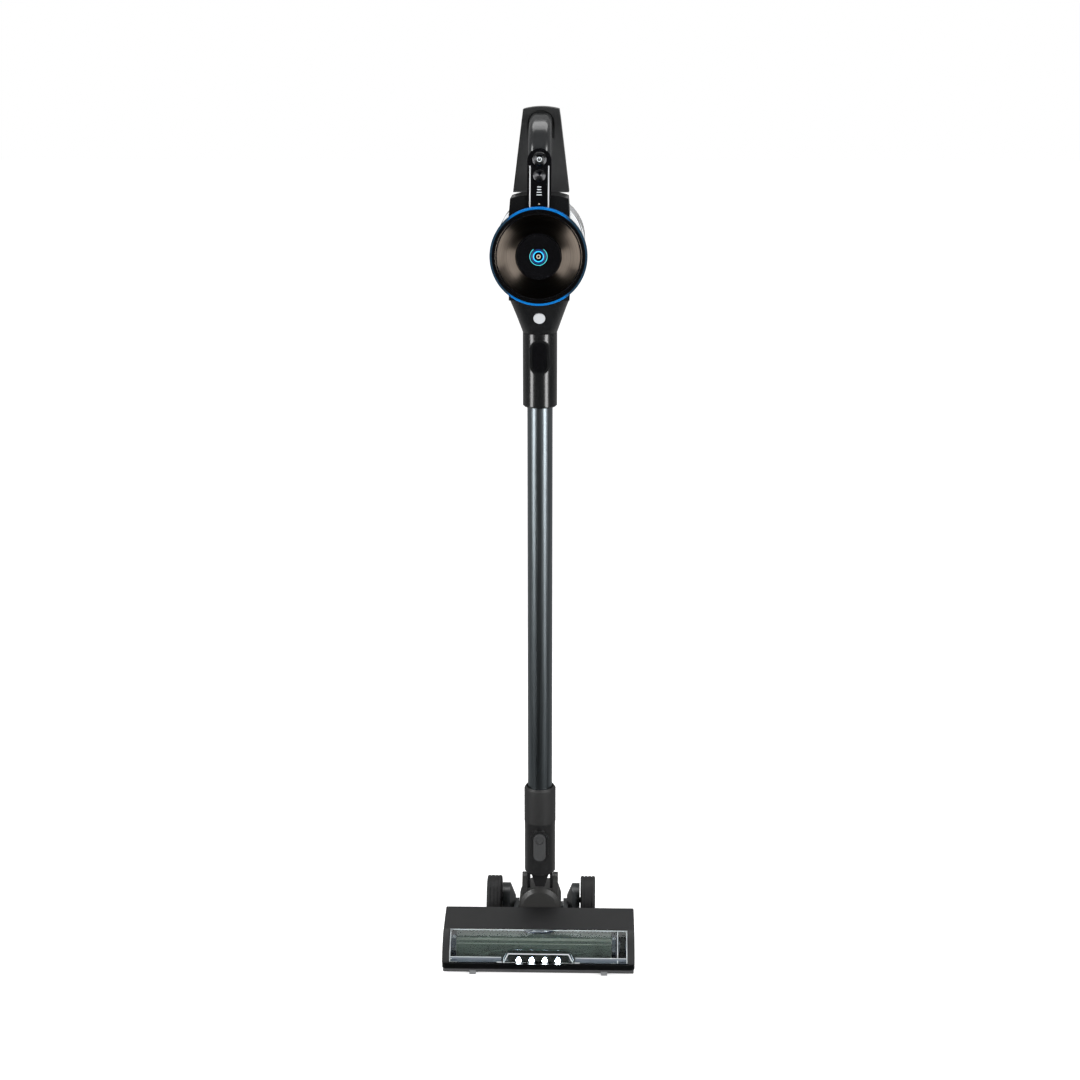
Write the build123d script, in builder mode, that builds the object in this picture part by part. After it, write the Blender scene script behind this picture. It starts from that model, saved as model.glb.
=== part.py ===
"""Cordless stick vacuum: floor head, folding neck, wand and handheld unit with dust cup and battery.

Millimetres. +Z is up, the front of the floor head faces -Y and +X is to the right of someone looking
at that front. The origin is on the floor, in the middle of the object's box. Depths are written from
the wand's axis, and the three plane functions below place them in the frame.
"""

import os
from math import atan2, cos, radians, sin, sqrt

from build123d import *

os.makedirs("parts", exist_ok=True)

# ------------------------------------------------------------------ fits and walls
GAP = 0.3  # between pieces that slide or turn past each other
SNUG = 0.05  # radial, between a shaft and its bore
WALL = 2.5  # moulded shells
CLEAR_WALL = 2.0  # transparent pieces

# ------------------------------------------------------------------ floor head
HEAD_WIDTH = 260.0
HEAD_FRONT = -97.0
HEAD_REAR = -3.0
SOLE_BOTTOM = 3.0
SOLE_TOP = 12.0
NOSE = 7.5  # slope under the sole's front edge
BUMPER_TOP = 19.5
BUMPER_PROUD = 1.2
SEAM_Y = -60.0
SEAM_Z = 52.5
WINDOW_BULGE = 5.0
COVER_REAR_TOP = 61.0
COVER_ROUND = 7.0
CAP_PLATE = 9.0  # thickness of both end caps

ROLLER_Y = -57.0
ROLLER_Z = 24.5
PILE_R = 22.0
CORE_R = 16.0
SHAFT_R = 4.0
PILE_LEFT = -112.0
PILE_RIGHT = 99.0
HUB_RIGHT = 105.0
HUB_LENGTH = 8.0
BEARING_X = 106.0
BEARING_T = 2.0
PULLEY_R = 12.0
PULLEY_X = 109.0
PULLEY_W = 10.0
BELT_T = 1.6
PINION_R = 5.0
MOTOR_Y = -18.0
MOTOR_Z = 37.5
MOTOR_R = 12.0
MOTOR_LEFT = 40.0

FRONT_WHEEL_X = 88.8
FRONT_WHEEL_Y = -89.5
FRONT_WHEEL_R = 4.5
FRONT_WHEEL_W = 9.0

WHEEL_R = 34.0
WHEEL_Y = 72.0
WHEEL_IN = 56.0
WHEEL_W = 21.0
TYRE_T = 4.0
AXLE_R = 4.0

# ------------------------------------------------------------------ swivel and neck
SWIVEL_Z = 58.5
BARREL_R = 29.0
DOME_FRONT = -9.0
BARREL_REAR = 38.0
JOURNAL_R = 22.0
JOURNAL_REAR = 54.0
HINGE_Y = 11.0
HINGE_Z = 91.0
EAR_R = 13.0
EAR_IN = 17.7
EAR_T = 7.0
PIN_R = 4.5
KNUCKLE_R = 12.5
LUG_R = 9.5
LUG_T = 3.8
ELBOW_TOP_HALF = 14.0
ELBOW_FOOT_HALF = 6.0
NECK_R = 21.0
NECK_LENGTH = 96.0  # from the hinge to the neck's top
NECK_TUBE_START = 21.0  # above the hinge
PLUG_R = 16.6
PLUG_LENGTH = 56.0

# ------------------------------------------------------------------ wand
COLLAR_R = 21.4
COLLAR_LENGTH = 51.0
RIM_DROP = 3.0  # height of the collar's sloping rim
RIM_SLOPE = 2.0
RIM_GROOVE = 1.6  # width of the groove between the rim and the tube
TUBE_R = 16.5
TUBE_WALL = 1.3
TUBE_SHOWN = 526.0
TUBE_SEAT = 24.0  # how far each end of the tube is held
AIRWAY_R = 12.4
SOCKET_R = 22.2
SOCKET_LENGTH = 96.0
NOZZLE_R = 18.6
NOZZLE_BORE = 15.5
NOZZLE_LENGTH = 56.0

# ------------------------------------------------------------------ push buttons on the tubes
CAPSULE_W = 17.0
CAPSULE_TRAVEL = 2.5
CAPSULE_T = 3.6
BOSS_PROUD = 3.8
BUTTON_PROUD = 1.2  # of its boss
BOSS_RIM = 8.0  # the boss is this much longer and wider than its button
SCOOP_R = 5.5
SCOOP_DEPTH = 1.4
BACK_SLOPE = 1.0  # the neck button's back slopes off at its top
BACK_SLOPE_LENGTH = 9.0

# ------------------------------------------------------------------ handheld unit
FUNNEL_HEIGHT = 46.0
DISC_ABOVE_SOCKET = 104.0
BODY_HALF = 38.2
SHOULDER_HALF = 36.4
SHOULDER_DROP = 4.0
BODY_ABOVE_DISC = 72.0
BODY_FRONT = -44.0
BODY_REAR = 28.0
DRUM_R = 56.5
DRUM_FRONT = -58.0
DRUM_REAR = -30.0
DISC_FRONT = -75.0
DISC_R = 60.6
RING_IN = 54.5
RING_DEPTH = 13.0
DISPLAY_R = 27.4
MOTOR_CAN_R = 27.0
CUP_ABOVE_DISC = 6.0
CUP_R = 57.0
CUP_LENGTH = 90.0
LID_T = 5.0
CONE_R = 33.0
LATCH_PROUD = 3.0

# ------------------------------------------------------------------ handle and battery
HANDLE_ABOVE_BODY = 105.0
GRIP_HALF = 14.35
LEAN = 0.25  # the panel leans back this much for each unit up
PANEL_FRONT = -36.0  # at the height of the body's top
PANEL_HALF = 15.0
PANEL_ABOVE_BODY = 56.0
PANEL_T = 3.0
POWER_R = 9.4
POWER_ABOVE_BODY = 42.5
MODE_R = 8.4
MODE_ABOVE_BODY = 22.8
KEY_TRAVEL = 1.0
DOCK_FRONT = 50.0
DOCK_T = 8.0
BATTERY_T = 44.0
BATTERY_TOP_HALF = 23.0
BATTERY_FOOT_HALF = 36.2
BATTERY_RAISE = -2.5  # of its foot, from the body's top
CAP_H = 14.0  # the dock's cap over the battery
TOP_CROWN = 3.0  # the top's corners lie this much under its middle
POCKET_DEPTH = 4.0
CELL_R = 9.2
SOCKET_PORT_R = 2.8
PORT_BOSS_R = 5.0
PORT_DEPTH = 10.0

# ------------------------------------------------------------------ heights that follow
NECK_TOP = HINGE_Z + NECK_LENGTH
COLLAR_TOP = NECK_TOP + COLLAR_LENGTH
SOCKET_BOTTOM = COLLAR_TOP + TUBE_SHOWN
SOCKET_TOP = SOCKET_BOTTOM + SOCKET_LENGTH
FUNNEL_TOP = SOCKET_TOP + FUNNEL_HEIGHT
DISC_Z = SOCKET_TOP + DISC_ABOVE_SOCKET
CUP_Z = DISC_Z + CUP_ABOVE_DISC
BODY_TOP = DISC_Z + BODY_ABOVE_DISC
HANDLE_TOP = BODY_TOP + HANDLE_ABOVE_BODY
CUP_REAR = BODY_REAR + CUP_LENGTH
LID_REAR = CUP_REAR + LID_T
OBJECT_REAR = LID_REAR + LATCH_PROUD
OBJECT_FRONT = HEAD_FRONT - BUMPER_PROUD
WAND_Y = -(OBJECT_REAR + OBJECT_FRONT) / 2

HALF = HEAD_WIDTH / 2
COVER_HALF = HALF - CAP_PLATE
PANEL_TILT = atan2(LEAN, 1.0)


def level(z, x=0.0, y=0.0):
    """Horizontal plane at height z."""
    return Plane(origin=(x, WAND_Y + y, z), x_dir=(1, 0, 0), z_dir=(0, 0, 1))


def facing_front(y, z=0.0, x=0.0):
    """Upright plane that faces -Y; its own y runs up."""
    return Plane(origin=(x, WAND_Y + y, z), x_dir=(1, 0, 0), z_dir=(0, -1, 0))


def facing_side(x):
    """Upright plane that faces +X; its own x is the depth and its own y the height."""
    return Plane(origin=(x, WAND_Y, 0), x_dir=(0, 1, 0), z_dir=(1, 0, 0))


def panel_plane(above_body, proud=0.0):
    """Plane of the leaning control panel, at a height above the body's top."""
    run = Vector(0, sin(PANEL_TILT), cos(PANEL_TILT))
    out = Vector(0, -cos(PANEL_TILT), sin(PANEL_TILT))
    foot = Vector(0, WAND_Y + PANEL_FRONT + above_body * LEAN, BODY_TOP + above_body)
    return Plane(origin=foot + out * proud, x_dir=(1, 0, 0), z_dir=out)


def rod_x(x0, x1, r, y, z, mode=Mode.ADD):
    """Cylinder along X between two places."""
    with BuildSketch(facing_side(x0), mode=Mode.PRIVATE) as s:
        with Locations((y, z)):
            Circle(r)
    extrude(s.sketch, amount=x1 - x0, mode=mode)


def rod_y(y0, y1, r, z, x=0.0, mode=Mode.ADD):
    """Cylinder along Y between two places."""
    with BuildSketch(facing_front(y0, z, x), mode=Mode.PRIVATE) as s:
        Circle(r)
    extrude(s.sketch, amount=y0 - y1, mode=mode)


def rod_z(z0, z1, r, x=0.0, y=0.0, mode=Mode.ADD):
    """Cylinder along Z between two heights."""
    with BuildSketch(level(z0, x, y), mode=Mode.PRIVATE) as s:
        Circle(r)
    extrude(s.sketch, amount=z1 - z0, mode=mode)


def block(x0, x1, y0, y1, z0, z1, mode=Mode.ADD):
    """Rectangular block between two corners."""
    with BuildSketch(level(z0, (x0 + x1) / 2, (y0 + y1) / 2), mode=Mode.PRIVATE) as s:
        Rectangle(x1 - x0, y1 - y0)
    extrude(s.sketch, amount=z1 - z0, mode=mode)


def side_slab(x0, x1, points, mode=Mode.ADD):
    """Prism along X of an outline given as (depth, height) points."""
    with BuildSketch(facing_side(x0), mode=Mode.PRIVATE) as s:
        with BuildLine():
            Polyline(*points, close=True)
        make_face()
    extrude(s.sketch, amount=x1 - x0, mode=mode)


def front_slab(y0, y1, points, mode=Mode.ADD):
    """Prism along Y of an outline given as (across, height) points."""
    with BuildSketch(facing_front(y0), mode=Mode.PRIVATE) as s:
        with BuildLine():
            Polyline(*points, close=True)
        make_face()
    extrude(s.sketch, amount=y0 - y1, mode=mode)


def housing_slab(x0, x1, inset=0.0, mode=Mode.ADD):
    """Prism along X of the head's cross-section above the bumper and sole, shrunk by inset."""
    chord_y, chord_z = SEAM_Y - WINDOW_FOOT_Y, SEAM_Z - BUMPER_TOP
    chord = sqrt(chord_y**2 + chord_z**2)
    bulge = (
        (SEAM_Y + WINDOW_FOOT_Y) / 2 - WINDOW_BULGE * chord_z / chord,
        (SEAM_Z + BUMPER_TOP) / 2 + WINDOW_BULGE * chord_y / chord,
    )
    with BuildSketch(facing_side(x0), mode=Mode.PRIVATE) as s:
        with BuildLine():
            Polyline((SEAM_Y, SEAM_Z), (HEAD_REAR - COVER_ROUND, COVER_REAR_TOP))
            Polyline(
                (HEAD_REAR, COVER_REAR_TOP - COVER_ROUND),
                (HEAD_REAR, SOLE_TOP),
                (WINDOW_FOOT_Y, SOLE_TOP),
                (WINDOW_FOOT_Y, BUMPER_TOP),
            )
            ThreePointArc((WINDOW_FOOT_Y, BUMPER_TOP), bulge, (SEAM_Y, SEAM_Z))
            Line(
                (HEAD_REAR - COVER_ROUND, COVER_REAR_TOP),
                (HEAD_REAR, COVER_REAR_TOP - COVER_ROUND),
            )
        make_face()
        if inset:
            offset(amount=-inset, kind=Kind.INTERSECTION)
    extrude(s.sketch, amount=x1 - x0, mode=mode)


def save(piece, name):
    """Label a finished piece and write it as its own file."""
    piece.part.label = name
    export_step(piece.part, f"parts/{name}.step")


WINDOW_FOOT_Y = HEAD_FRONT + 1.5
COVER_FAR_BACK = HEAD_REAR + 10
ABOVE_HEAD = COVER_REAR_TOP + 10
DOME_GAP = 0.8
DOME_BEVEL = 5.0

# ================================================================== floor head, fixed pieces
MOUTH_LEFT = PILE_LEFT - HUB_LENGTH - 0.5
MOUTH_RIGHT = HUB_RIGHT + 0.5
MOUTH_FRONT = ROLLER_Y - PILE_R - 1.5
MOUTH_REAR = ROLLER_Y + PILE_R + 1.5
MOTOR_RIGHT = BEARING_X - 6

# Sole: a shallow tray with the suction mouth, pockets for the two front wheels and a motor cradle.
with BuildPart() as sole_plate:
    block(-HALF + 1, HALF - 1, HEAD_FRONT, HEAD_REAR, SOLE_BOTTOM, SOLE_TOP)
    fillet(sole_plate.edges().filter_by(Axis.Z), 6)
    chamfer(sole_plate.faces().sort_by(Axis.Z)[0].edges(), 1.5)
    side_slab(
        -HALF, HALF,
        [
            (HEAD_FRONT - 1, SOLE_BOTTOM - 1), (HEAD_FRONT + NOSE + 1, SOLE_BOTTOM - 1),
            (HEAD_FRONT - 1, SOLE_BOTTOM + NOSE + 1),
        ],
        Mode.SUBTRACT,
    )
    block(
        MOUTH_LEFT, MOUTH_RIGHT, MOUTH_FRONT, MOUTH_REAR, SOLE_BOTTOM - 1, SOLE_TOP + 1, Mode.SUBTRACT
    )
    block(
        BEARING_X + BEARING_T, COVER_HALF, MOUTH_FRONT, HEAD_REAR - WALL,
        SOLE_BOTTOM + WALL, SOLE_TOP + 1, Mode.SUBTRACT,
    )
    for side in (-1, 1):
        at = side * FRONT_WHEEL_X
        reach = FRONT_WHEEL_R + 0.8
        block(
            at - FRONT_WHEEL_W / 2 - 0.6, at + FRONT_WHEEL_W / 2 + 0.6, FRONT_WHEEL_Y - reach,
            min(FRONT_WHEEL_Y + reach, MOUTH_FRONT + 1), SOLE_BOTTOM - 1, SOLE_TOP - 2, Mode.SUBTRACT,
        )
        rod_x(
            at - FRONT_WHEEL_W / 2 - 3, at + FRONT_WHEEL_W / 2 + 3, 1.5, FRONT_WHEEL_Y, FRONT_WHEEL_R
        )
    block(
        MOTOR_LEFT + 6, MOTOR_RIGHT - 6, MOTOR_Y - MOTOR_R + 2, MOTOR_Y + MOTOR_R - 2, SOLE_TOP, MOTOR_Z - 6
    )
    rod_x(MOTOR_LEFT, MOTOR_RIGHT, MOTOR_R + SNUG, MOTOR_Y, MOTOR_Z, Mode.SUBTRACT)
save(sole_plate, "sole_plate")

# Bumper: soft strip round the front, standing on the sole.
with BuildPart() as bumper:
    block(
        -HALF, HALF, HEAD_FRONT - BUMPER_PROUD, MOUTH_FRONT - 2, SOLE_TOP, BUMPER_TOP
    )
    fillet(bumper.edges().filter_by(Axis.Z).group_by(Axis.Y)[0], 6)
    block(
        -COVER_HALF, COVER_HALF, WINDOW_FOOT_Y + CLEAR_WALL, MOUTH_FRONT, SOLE_TOP - 1,
        BUMPER_TOP + 1, Mode.SUBTRACT,
    )
save(bumper, "bumper")

# Top cover: roof and rear wall between the end caps, with a round opening for the swivel's dome.
DUCT_HALF = 24.0
with BuildPart() as top_cover:
    housing_slab(-COVER_HALF, COVER_HALF)
    housing_slab(-HALF, HALF, WALL, Mode.SUBTRACT)
    block(-HALF, HALF, HEAD_FRONT - 5, SEAM_Y, 0, ABOVE_HEAD, Mode.SUBTRACT)
    block(-HALF, HALF, SEAM_Y - 1, HEAD_REAR - WALL, 0, SEAM_Z - 14, Mode.SUBTRACT)
    rod_y(DOME_FRONT - DOME_GAP, COVER_FAR_BACK, BARREL_R + DOME_GAP, SWIVEL_Z, mode=Mode.SUBTRACT)
save(top_cover, "top_cover")

# End caps: a thick plate at each end. The left one carries a stub axle for the roller, the right
# one a bore for its shaft.
AXLE_DEEP = 4.0
for side, name in ((-1, "end_cap_left"), (1, "end_cap_right")):
    with BuildPart() as end_cap:
        housing_slab(side * COVER_HALF, side * HALF)
        block(
            -HALF - 1, HALF + 1, HEAD_FRONT - 5, MOUTH_FRONT - 2, 0, BUMPER_TOP, Mode.SUBTRACT
        )
        outer = end_cap.faces().sort_by(Axis.X)[0 if side < 0 else -1]
        chamfer(outer.edges().filter_by(lambda e: e.center().Z > SEAM_Z), 1.2)
        if side < 0:
            rod_x(-COVER_HALF, PILE_LEFT + AXLE_DEEP, SHAFT_R - SNUG, ROLLER_Y, ROLLER_Z)
        else:
            rod_x(
                COVER_HALF - 1, COVER_HALF + AXLE_DEEP, SHAFT_R + SNUG, ROLLER_Y, ROLLER_Z, Mode.SUBTRACT
            )
    save(end_cap, name)

# Window: the clear front, curved from the cover's seam down to the bumper.
with BuildPart() as front_window:
    housing_slab(-COVER_HALF, COVER_HALF)
    housing_slab(-HALF, HALF, CLEAR_WALL, Mode.SUBTRACT)
    block(-HALF, HALF, SEAM_Y, COVER_FAR_BACK, 0, ABOVE_HEAD, Mode.SUBTRACT)
    block(-HALF, HALF, HEAD_FRONT - 5, SEAM_Y, 0, BUMPER_TOP, Mode.SUBTRACT)
save(front_window, "front_window")

# Chamber wall: the partition behind the roller, with the air opening in its middle.
CHAMBER_Y = MOUTH_REAR + 0.5
CHAMBER_T = 2.0
DUCT_BOTTOM = 20.0
DUCT_TOP = 50.0
CHAMBER_TOP = SEAM_Z
with BuildPart() as chamber_wall:
    block(
        -COVER_HALF, BEARING_X, CHAMBER_Y, CHAMBER_Y + CHAMBER_T, SOLE_TOP, CHAMBER_TOP
    )
    block(
        -DUCT_HALF + 3, DUCT_HALF - 3, CHAMBER_Y - 1, CHAMBER_Y + 3, DUCT_BOTTOM + 2, DUCT_TOP - 4,
        Mode.SUBTRACT,
    )
save(chamber_wall, "chamber_wall")

# Comb: a bar under the cover's seam with short teeth that reach towards the roller.
COMB_PITCH = 5.0
COMB_COUNT = int((PILE_RIGHT - PILE_LEFT) / COMB_PITCH) - 1
COMB_MID = (PILE_LEFT + PILE_RIGHT) / 2
ROOF_INSIDE = SEAM_Z - WALL
with BuildPart() as comb:
    block(PILE_LEFT, PILE_RIGHT, SEAM_Y + 10, CHAMBER_Y, ROOF_INSIDE - 1.5, ROOF_INSIDE + 1)
    for i in range(COMB_COUNT):
        tooth = COMB_MID + (i - (COMB_COUNT - 1) / 2) * COMB_PITCH
        block(
            tooth - 0.9, tooth + 0.9, SEAM_Y + 3, SEAM_Y + 12, ROLLER_Z + PILE_R + 0.6, ROOF_INSIDE - 0.6
        )
save(comb, "comb")

# Air duct: from the opening behind the roller back to the swivel, with a round seat at its end.
DUCT_REAR = DOME_FRONT - DOME_GAP - 0.4
DUCT_BORE = 13.0
YOKE_BORE_Z = SWIVEL_Z - BARREL_R + DUCT_BORE + 3
with BuildPart() as air_duct:
    block(
        -DUCT_HALF, DUCT_HALF, CHAMBER_Y + CHAMBER_T, DUCT_REAR, DUCT_BOTTOM, DUCT_TOP
    )
    block(
        -DUCT_HALF + 3, DUCT_HALF - 3, CHAMBER_Y, DUCT_REAR - 6, DUCT_BOTTOM + 2, DUCT_TOP - 4,
        Mode.SUBTRACT,
    )
    rod_y(CHAMBER_Y, DUCT_REAR + 1, DUCT_BORE, (DUCT_BOTTOM + DUCT_TOP) / 2, mode=Mode.SUBTRACT)
save(air_duct, "air_duct")

# Bearing plate: clear wall between the roller and the belt, bored for the roller's shaft.
PINION_BORE = PINION_R + 3
with BuildPart() as bearing_plate:
    side_slab(
        BEARING_X, BEARING_X + BEARING_T,
        [
            (MOUTH_FRONT + 0.5, SOLE_TOP), (HEAD_REAR - WALL - 0.5, SOLE_TOP),
            (HEAD_REAR - WALL - 0.5, SEAM_Z - 4), (SEAM_Y, SEAM_Z - 4), (MOUTH_FRONT + 0.5, SEAM_Z - 20),
        ],
    )
    rod_x(BEARING_X - 1, BEARING_X + 4, SHAFT_R + SNUG, ROLLER_Y, ROLLER_Z, Mode.SUBTRACT)
    rod_x(BEARING_X - 1, BEARING_X + 4, PINION_BORE, MOTOR_Y, MOTOR_Z, Mode.SUBTRACT)
save(bearing_plate, "bearing_plate")

# Brush motor: can and end bell, lying behind the roller chamber.
MOTOR_SHAFT_R = 1.6
with BuildPart() as brush_motor:
    rod_x(MOTOR_LEFT, MOTOR_RIGHT, MOTOR_R, MOTOR_Y, MOTOR_Z)
    fillet(brush_motor.edges().filter_by(GeomType.CIRCLE), 1.5)
    rod_x(MOTOR_LEFT - 5, MOTOR_LEFT, MOTOR_R - 4, MOTOR_Y, MOTOR_Z)
    rod_x(MOTOR_RIGHT, MOTOR_RIGHT + 3, PINION_R + 1, MOTOR_Y, MOTOR_Z)
    rod_x(
        MOTOR_RIGHT + 3, PULLEY_X + PULLEY_W, MOTOR_SHAFT_R, MOTOR_Y, MOTOR_Z
    )
save(brush_motor, "brush_motor")

# Drive belt: a flat loop round the pulley and the pinion.
BELT_RUN_Y = MOTOR_Y - ROLLER_Y
BELT_RUN_Z = MOTOR_Z - ROLLER_Z
BELT_SPAN = sqrt(BELT_RUN_Y**2 + BELT_RUN_Z**2)
BELT_ANGLE = atan2(BELT_RUN_Z, BELT_RUN_Y)


def belt_outline(extra):
    """Corner points of the four tangent ends of a loop that stands extra off both wheels."""
    big, small = PULLEY_R + extra, PINION_R + extra
    wrap = atan2(sqrt(BELT_SPAN**2 - (big - small) ** 2), big - small)
    places = []
    for centre_y, centre_z, r in ((ROLLER_Y, ROLLER_Z, big), (MOTOR_Y, MOTOR_Z, small)):
        for turn in (wrap, -wrap):
            angle = BELT_ANGLE + turn
            places.append((centre_y + r * cos(angle), centre_z + r * sin(angle)))
    back = (ROLLER_Y - big * cos(BELT_ANGLE), ROLLER_Z - big * sin(BELT_ANGLE))
    front = (MOTOR_Y + small * cos(BELT_ANGLE), MOTOR_Z + small * sin(BELT_ANGLE))
    return places, back, front


def belt_loop(extra, x0, x1, mode=Mode.ADD):
    """Solid bounded by such a loop."""
    (big_up, big_down, small_up, small_down), back, front = belt_outline(extra)
    with BuildSketch(facing_side(x0), mode=Mode.PRIVATE) as s:
        with BuildLine():
            Line(big_up, small_up)
            ThreePointArc(small_up, front, small_down)
            Line(small_down, big_down)
            ThreePointArc(big_down, back, big_up)
        make_face()
    extrude(s.sketch, amount=x1 - x0, mode=mode)


with BuildPart() as drive_belt:
    belt_loop(SNUG + BELT_T, PULLEY_X + 2, PULLEY_X + PULLEY_W - 2)
    belt_loop(SNUG, PULLEY_X + 1, PULLEY_X + PULLEY_W - 1, Mode.SUBTRACT)
save(drive_belt, "drive_belt")

# Headlights: a board behind the bumper, four lamps and one clear lens over them.
LAMP_COUNT = 4
LAMP_PITCH = 17.6
LAMP_Z = BUMPER_TOP + 2.2
LAMP_R = 2.4
LENS_TOP = BUMPER_TOP + 13.0
LENS_FOOT_HALF = 47.8
LENS_HEAD_HALF = 41.0
LENS_FRONT = WINDOW_FOOT_Y + CLEAR_WALL + 1.4
LENS_REAR = MOUTH_FRONT - 1.2
with BuildPart() as lamp_board:
    block(-LENS_HEAD_HALF, LENS_HEAD_HALF, LENS_REAR, MOUTH_FRONT, SOLE_TOP, LENS_TOP - 1)
save(lamp_board, "lamp_board")

with BuildPart() as headlamps:
    for i in range(LAMP_COUNT):
        across = (i - (LAMP_COUNT - 1) / 2) * LAMP_PITCH
        rod_y(LENS_REAR - 4.4, LENS_REAR, LAMP_R, LAMP_Z, across)
    fillet(headlamps.edges().filter_by(GeomType.CIRCLE).group_by(Axis.Y)[0], 1.0)
save(headlamps, "headlamps")

with BuildPart() as lamp_lens:
    front_slab(
        LENS_FRONT, LENS_REAR,
        [
            (-LENS_FOOT_HALF, SOLE_TOP), (LENS_FOOT_HALF, SOLE_TOP), (LENS_FOOT_HALF, BUMPER_TOP),
            (LENS_HEAD_HALF, LENS_TOP), (-LENS_HEAD_HALF, LENS_TOP), (-LENS_FOOT_HALF, BUMPER_TOP),
        ],
    )
    for i in range(LAMP_COUNT):
        across = (i - (LAMP_COUNT - 1) / 2) * LAMP_PITCH
        rod_y(LENS_REAR - 5, LENS_REAR + 1, LAMP_R + 0.3, LAMP_Z, across, Mode.SUBTRACT)
    housing_slab(-HALF, HALF, CLEAR_WALL + GAP, Mode.INTERSECT)
save(lamp_lens, "lamp_lens")

# Wheel carriage: ring that carries the swivel, two arms from the head, and the wheels' fairings.
RING_T = 4.5
RING_OPEN = 15.0  # the ring is open above this height over its axis
ARM_IN = BARREL_R + 2.5
ARM_OUT = ARM_IN + 7
FAIRING_IN = ARM_OUT + 5.5
FAIRING_R = 24.0
FAIRING_ROOT_R = 7.0
RING_FRONT = BARREL_REAR + 0.5
with BuildPart() as wheel_carriage:
    for side in (-1, 1):
        low, high = sorted((side * ARM_IN, side * ARM_OUT))
        block(low, high, HEAD_REAR, WHEEL_Y + 8, 15, 33)
        with BuildSketch(facing_side(side * (ARM_OUT - 2))) as fairing_root:
            with Locations((WHEEL_Y, WHEEL_R)):
                Circle(FAIRING_ROOT_R)
        with BuildSketch(facing_side(side * FAIRING_IN)) as fairing_rim:
            with Locations((WHEEL_Y, WHEEL_R)):
                Circle(FAIRING_R)
        loft()
        low, high = sorted((side * FAIRING_IN, side * (WHEEL_IN - 1.2)))
        rod_x(low, high, FAIRING_R, WHEEL_Y, WHEEL_R)
        low, high = sorted((side * (ARM_OUT + 2), side * (WHEEL_IN + WHEEL_W - 4)))
        rod_x(low, high, AXLE_R, WHEEL_Y, WHEEL_R)
    block(-ARM_IN, ARM_IN, RING_FRONT, WHEEL_Y - 18, 15, SWIVEL_Z - JOURNAL_R + 4)
    rod_y(RING_FRONT, WHEEL_Y - 18, JOURNAL_R + RING_T, SWIVEL_Z)
    rod_y(RING_FRONT - 1, WHEEL_Y - 17, JOURNAL_R + SNUG, SWIVEL_Z, mode=Mode.SUBTRACT)
    block(
        -ARM_OUT, ARM_OUT, HEAD_REAR, WHEEL_Y + 9, SWIVEL_Z + RING_OPEN, HINGE_Z + EAR_R, Mode.SUBTRACT
    )
save(wheel_carriage, "wheel_carriage")

# ================================================================== roller and its drive
with BuildPart() as roller_core:
    rod_x(PILE_LEFT, HUB_RIGHT, CORE_R, ROLLER_Y, ROLLER_Z)
    rod_x(PILE_RIGHT + 1, HUB_RIGHT, PILE_R - 2, ROLLER_Y, ROLLER_Z)
    rod_x(HUB_RIGHT, COVER_HALF + AXLE_DEEP - 0.5, SHAFT_R, ROLLER_Y, ROLLER_Z)
    rod_x(PILE_LEFT - HUB_LENGTH, PILE_LEFT, PILE_R - 2, ROLLER_Y, ROLLER_Z)
    rod_x(PILE_LEFT - HUB_LENGTH - 1, PILE_LEFT + AXLE_DEEP + 1, SHAFT_R, ROLLER_Y, ROLLER_Z, Mode.SUBTRACT)
save(roller_core, "roller_core")

with BuildPart() as roller_pile:
    rod_x(PILE_LEFT, PILE_RIGHT, PILE_R, ROLLER_Y, ROLLER_Z)
    rod_x(PILE_LEFT - 1, PILE_RIGHT + 1, CORE_R, ROLLER_Y, ROLLER_Z, Mode.SUBTRACT)
    fillet(roller_pile.edges().filter_by(GeomType.CIRCLE).filter_by(lambda e: e.radius > CORE_R + 1), 2)
save(roller_pile, "roller_pile")

# Pulley: toothed-belt wheel fixed on the roller's shaft.
with BuildPart() as roller_pulley:
    rod_x(PULLEY_X, PULLEY_X + PULLEY_W, PULLEY_R, ROLLER_Y, ROLLER_Z)
    for flange in (PULLEY_X, PULLEY_X + PULLEY_W - 1.2):
        rod_x(flange, flange + 1.2, PULLEY_R + 2, ROLLER_Y, ROLLER_Z)
    rod_x(PULLEY_X - 1, PULLEY_X + PULLEY_W + 1, SHAFT_R, ROLLER_Y, ROLLER_Z, Mode.SUBTRACT)
save(roller_pulley, "roller_pulley")

with BuildPart() as motor_pinion:
    rod_x(PULLEY_X, PULLEY_X + PULLEY_W, PINION_R, MOTOR_Y, MOTOR_Z)
    rod_x(
        PULLEY_X - 1, PULLEY_X + PULLEY_W + 1, MOTOR_SHAFT_R + SNUG, MOTOR_Y, MOTOR_Z, Mode.SUBTRACT
    )
save(motor_pinion, "motor_pinion")

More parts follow.
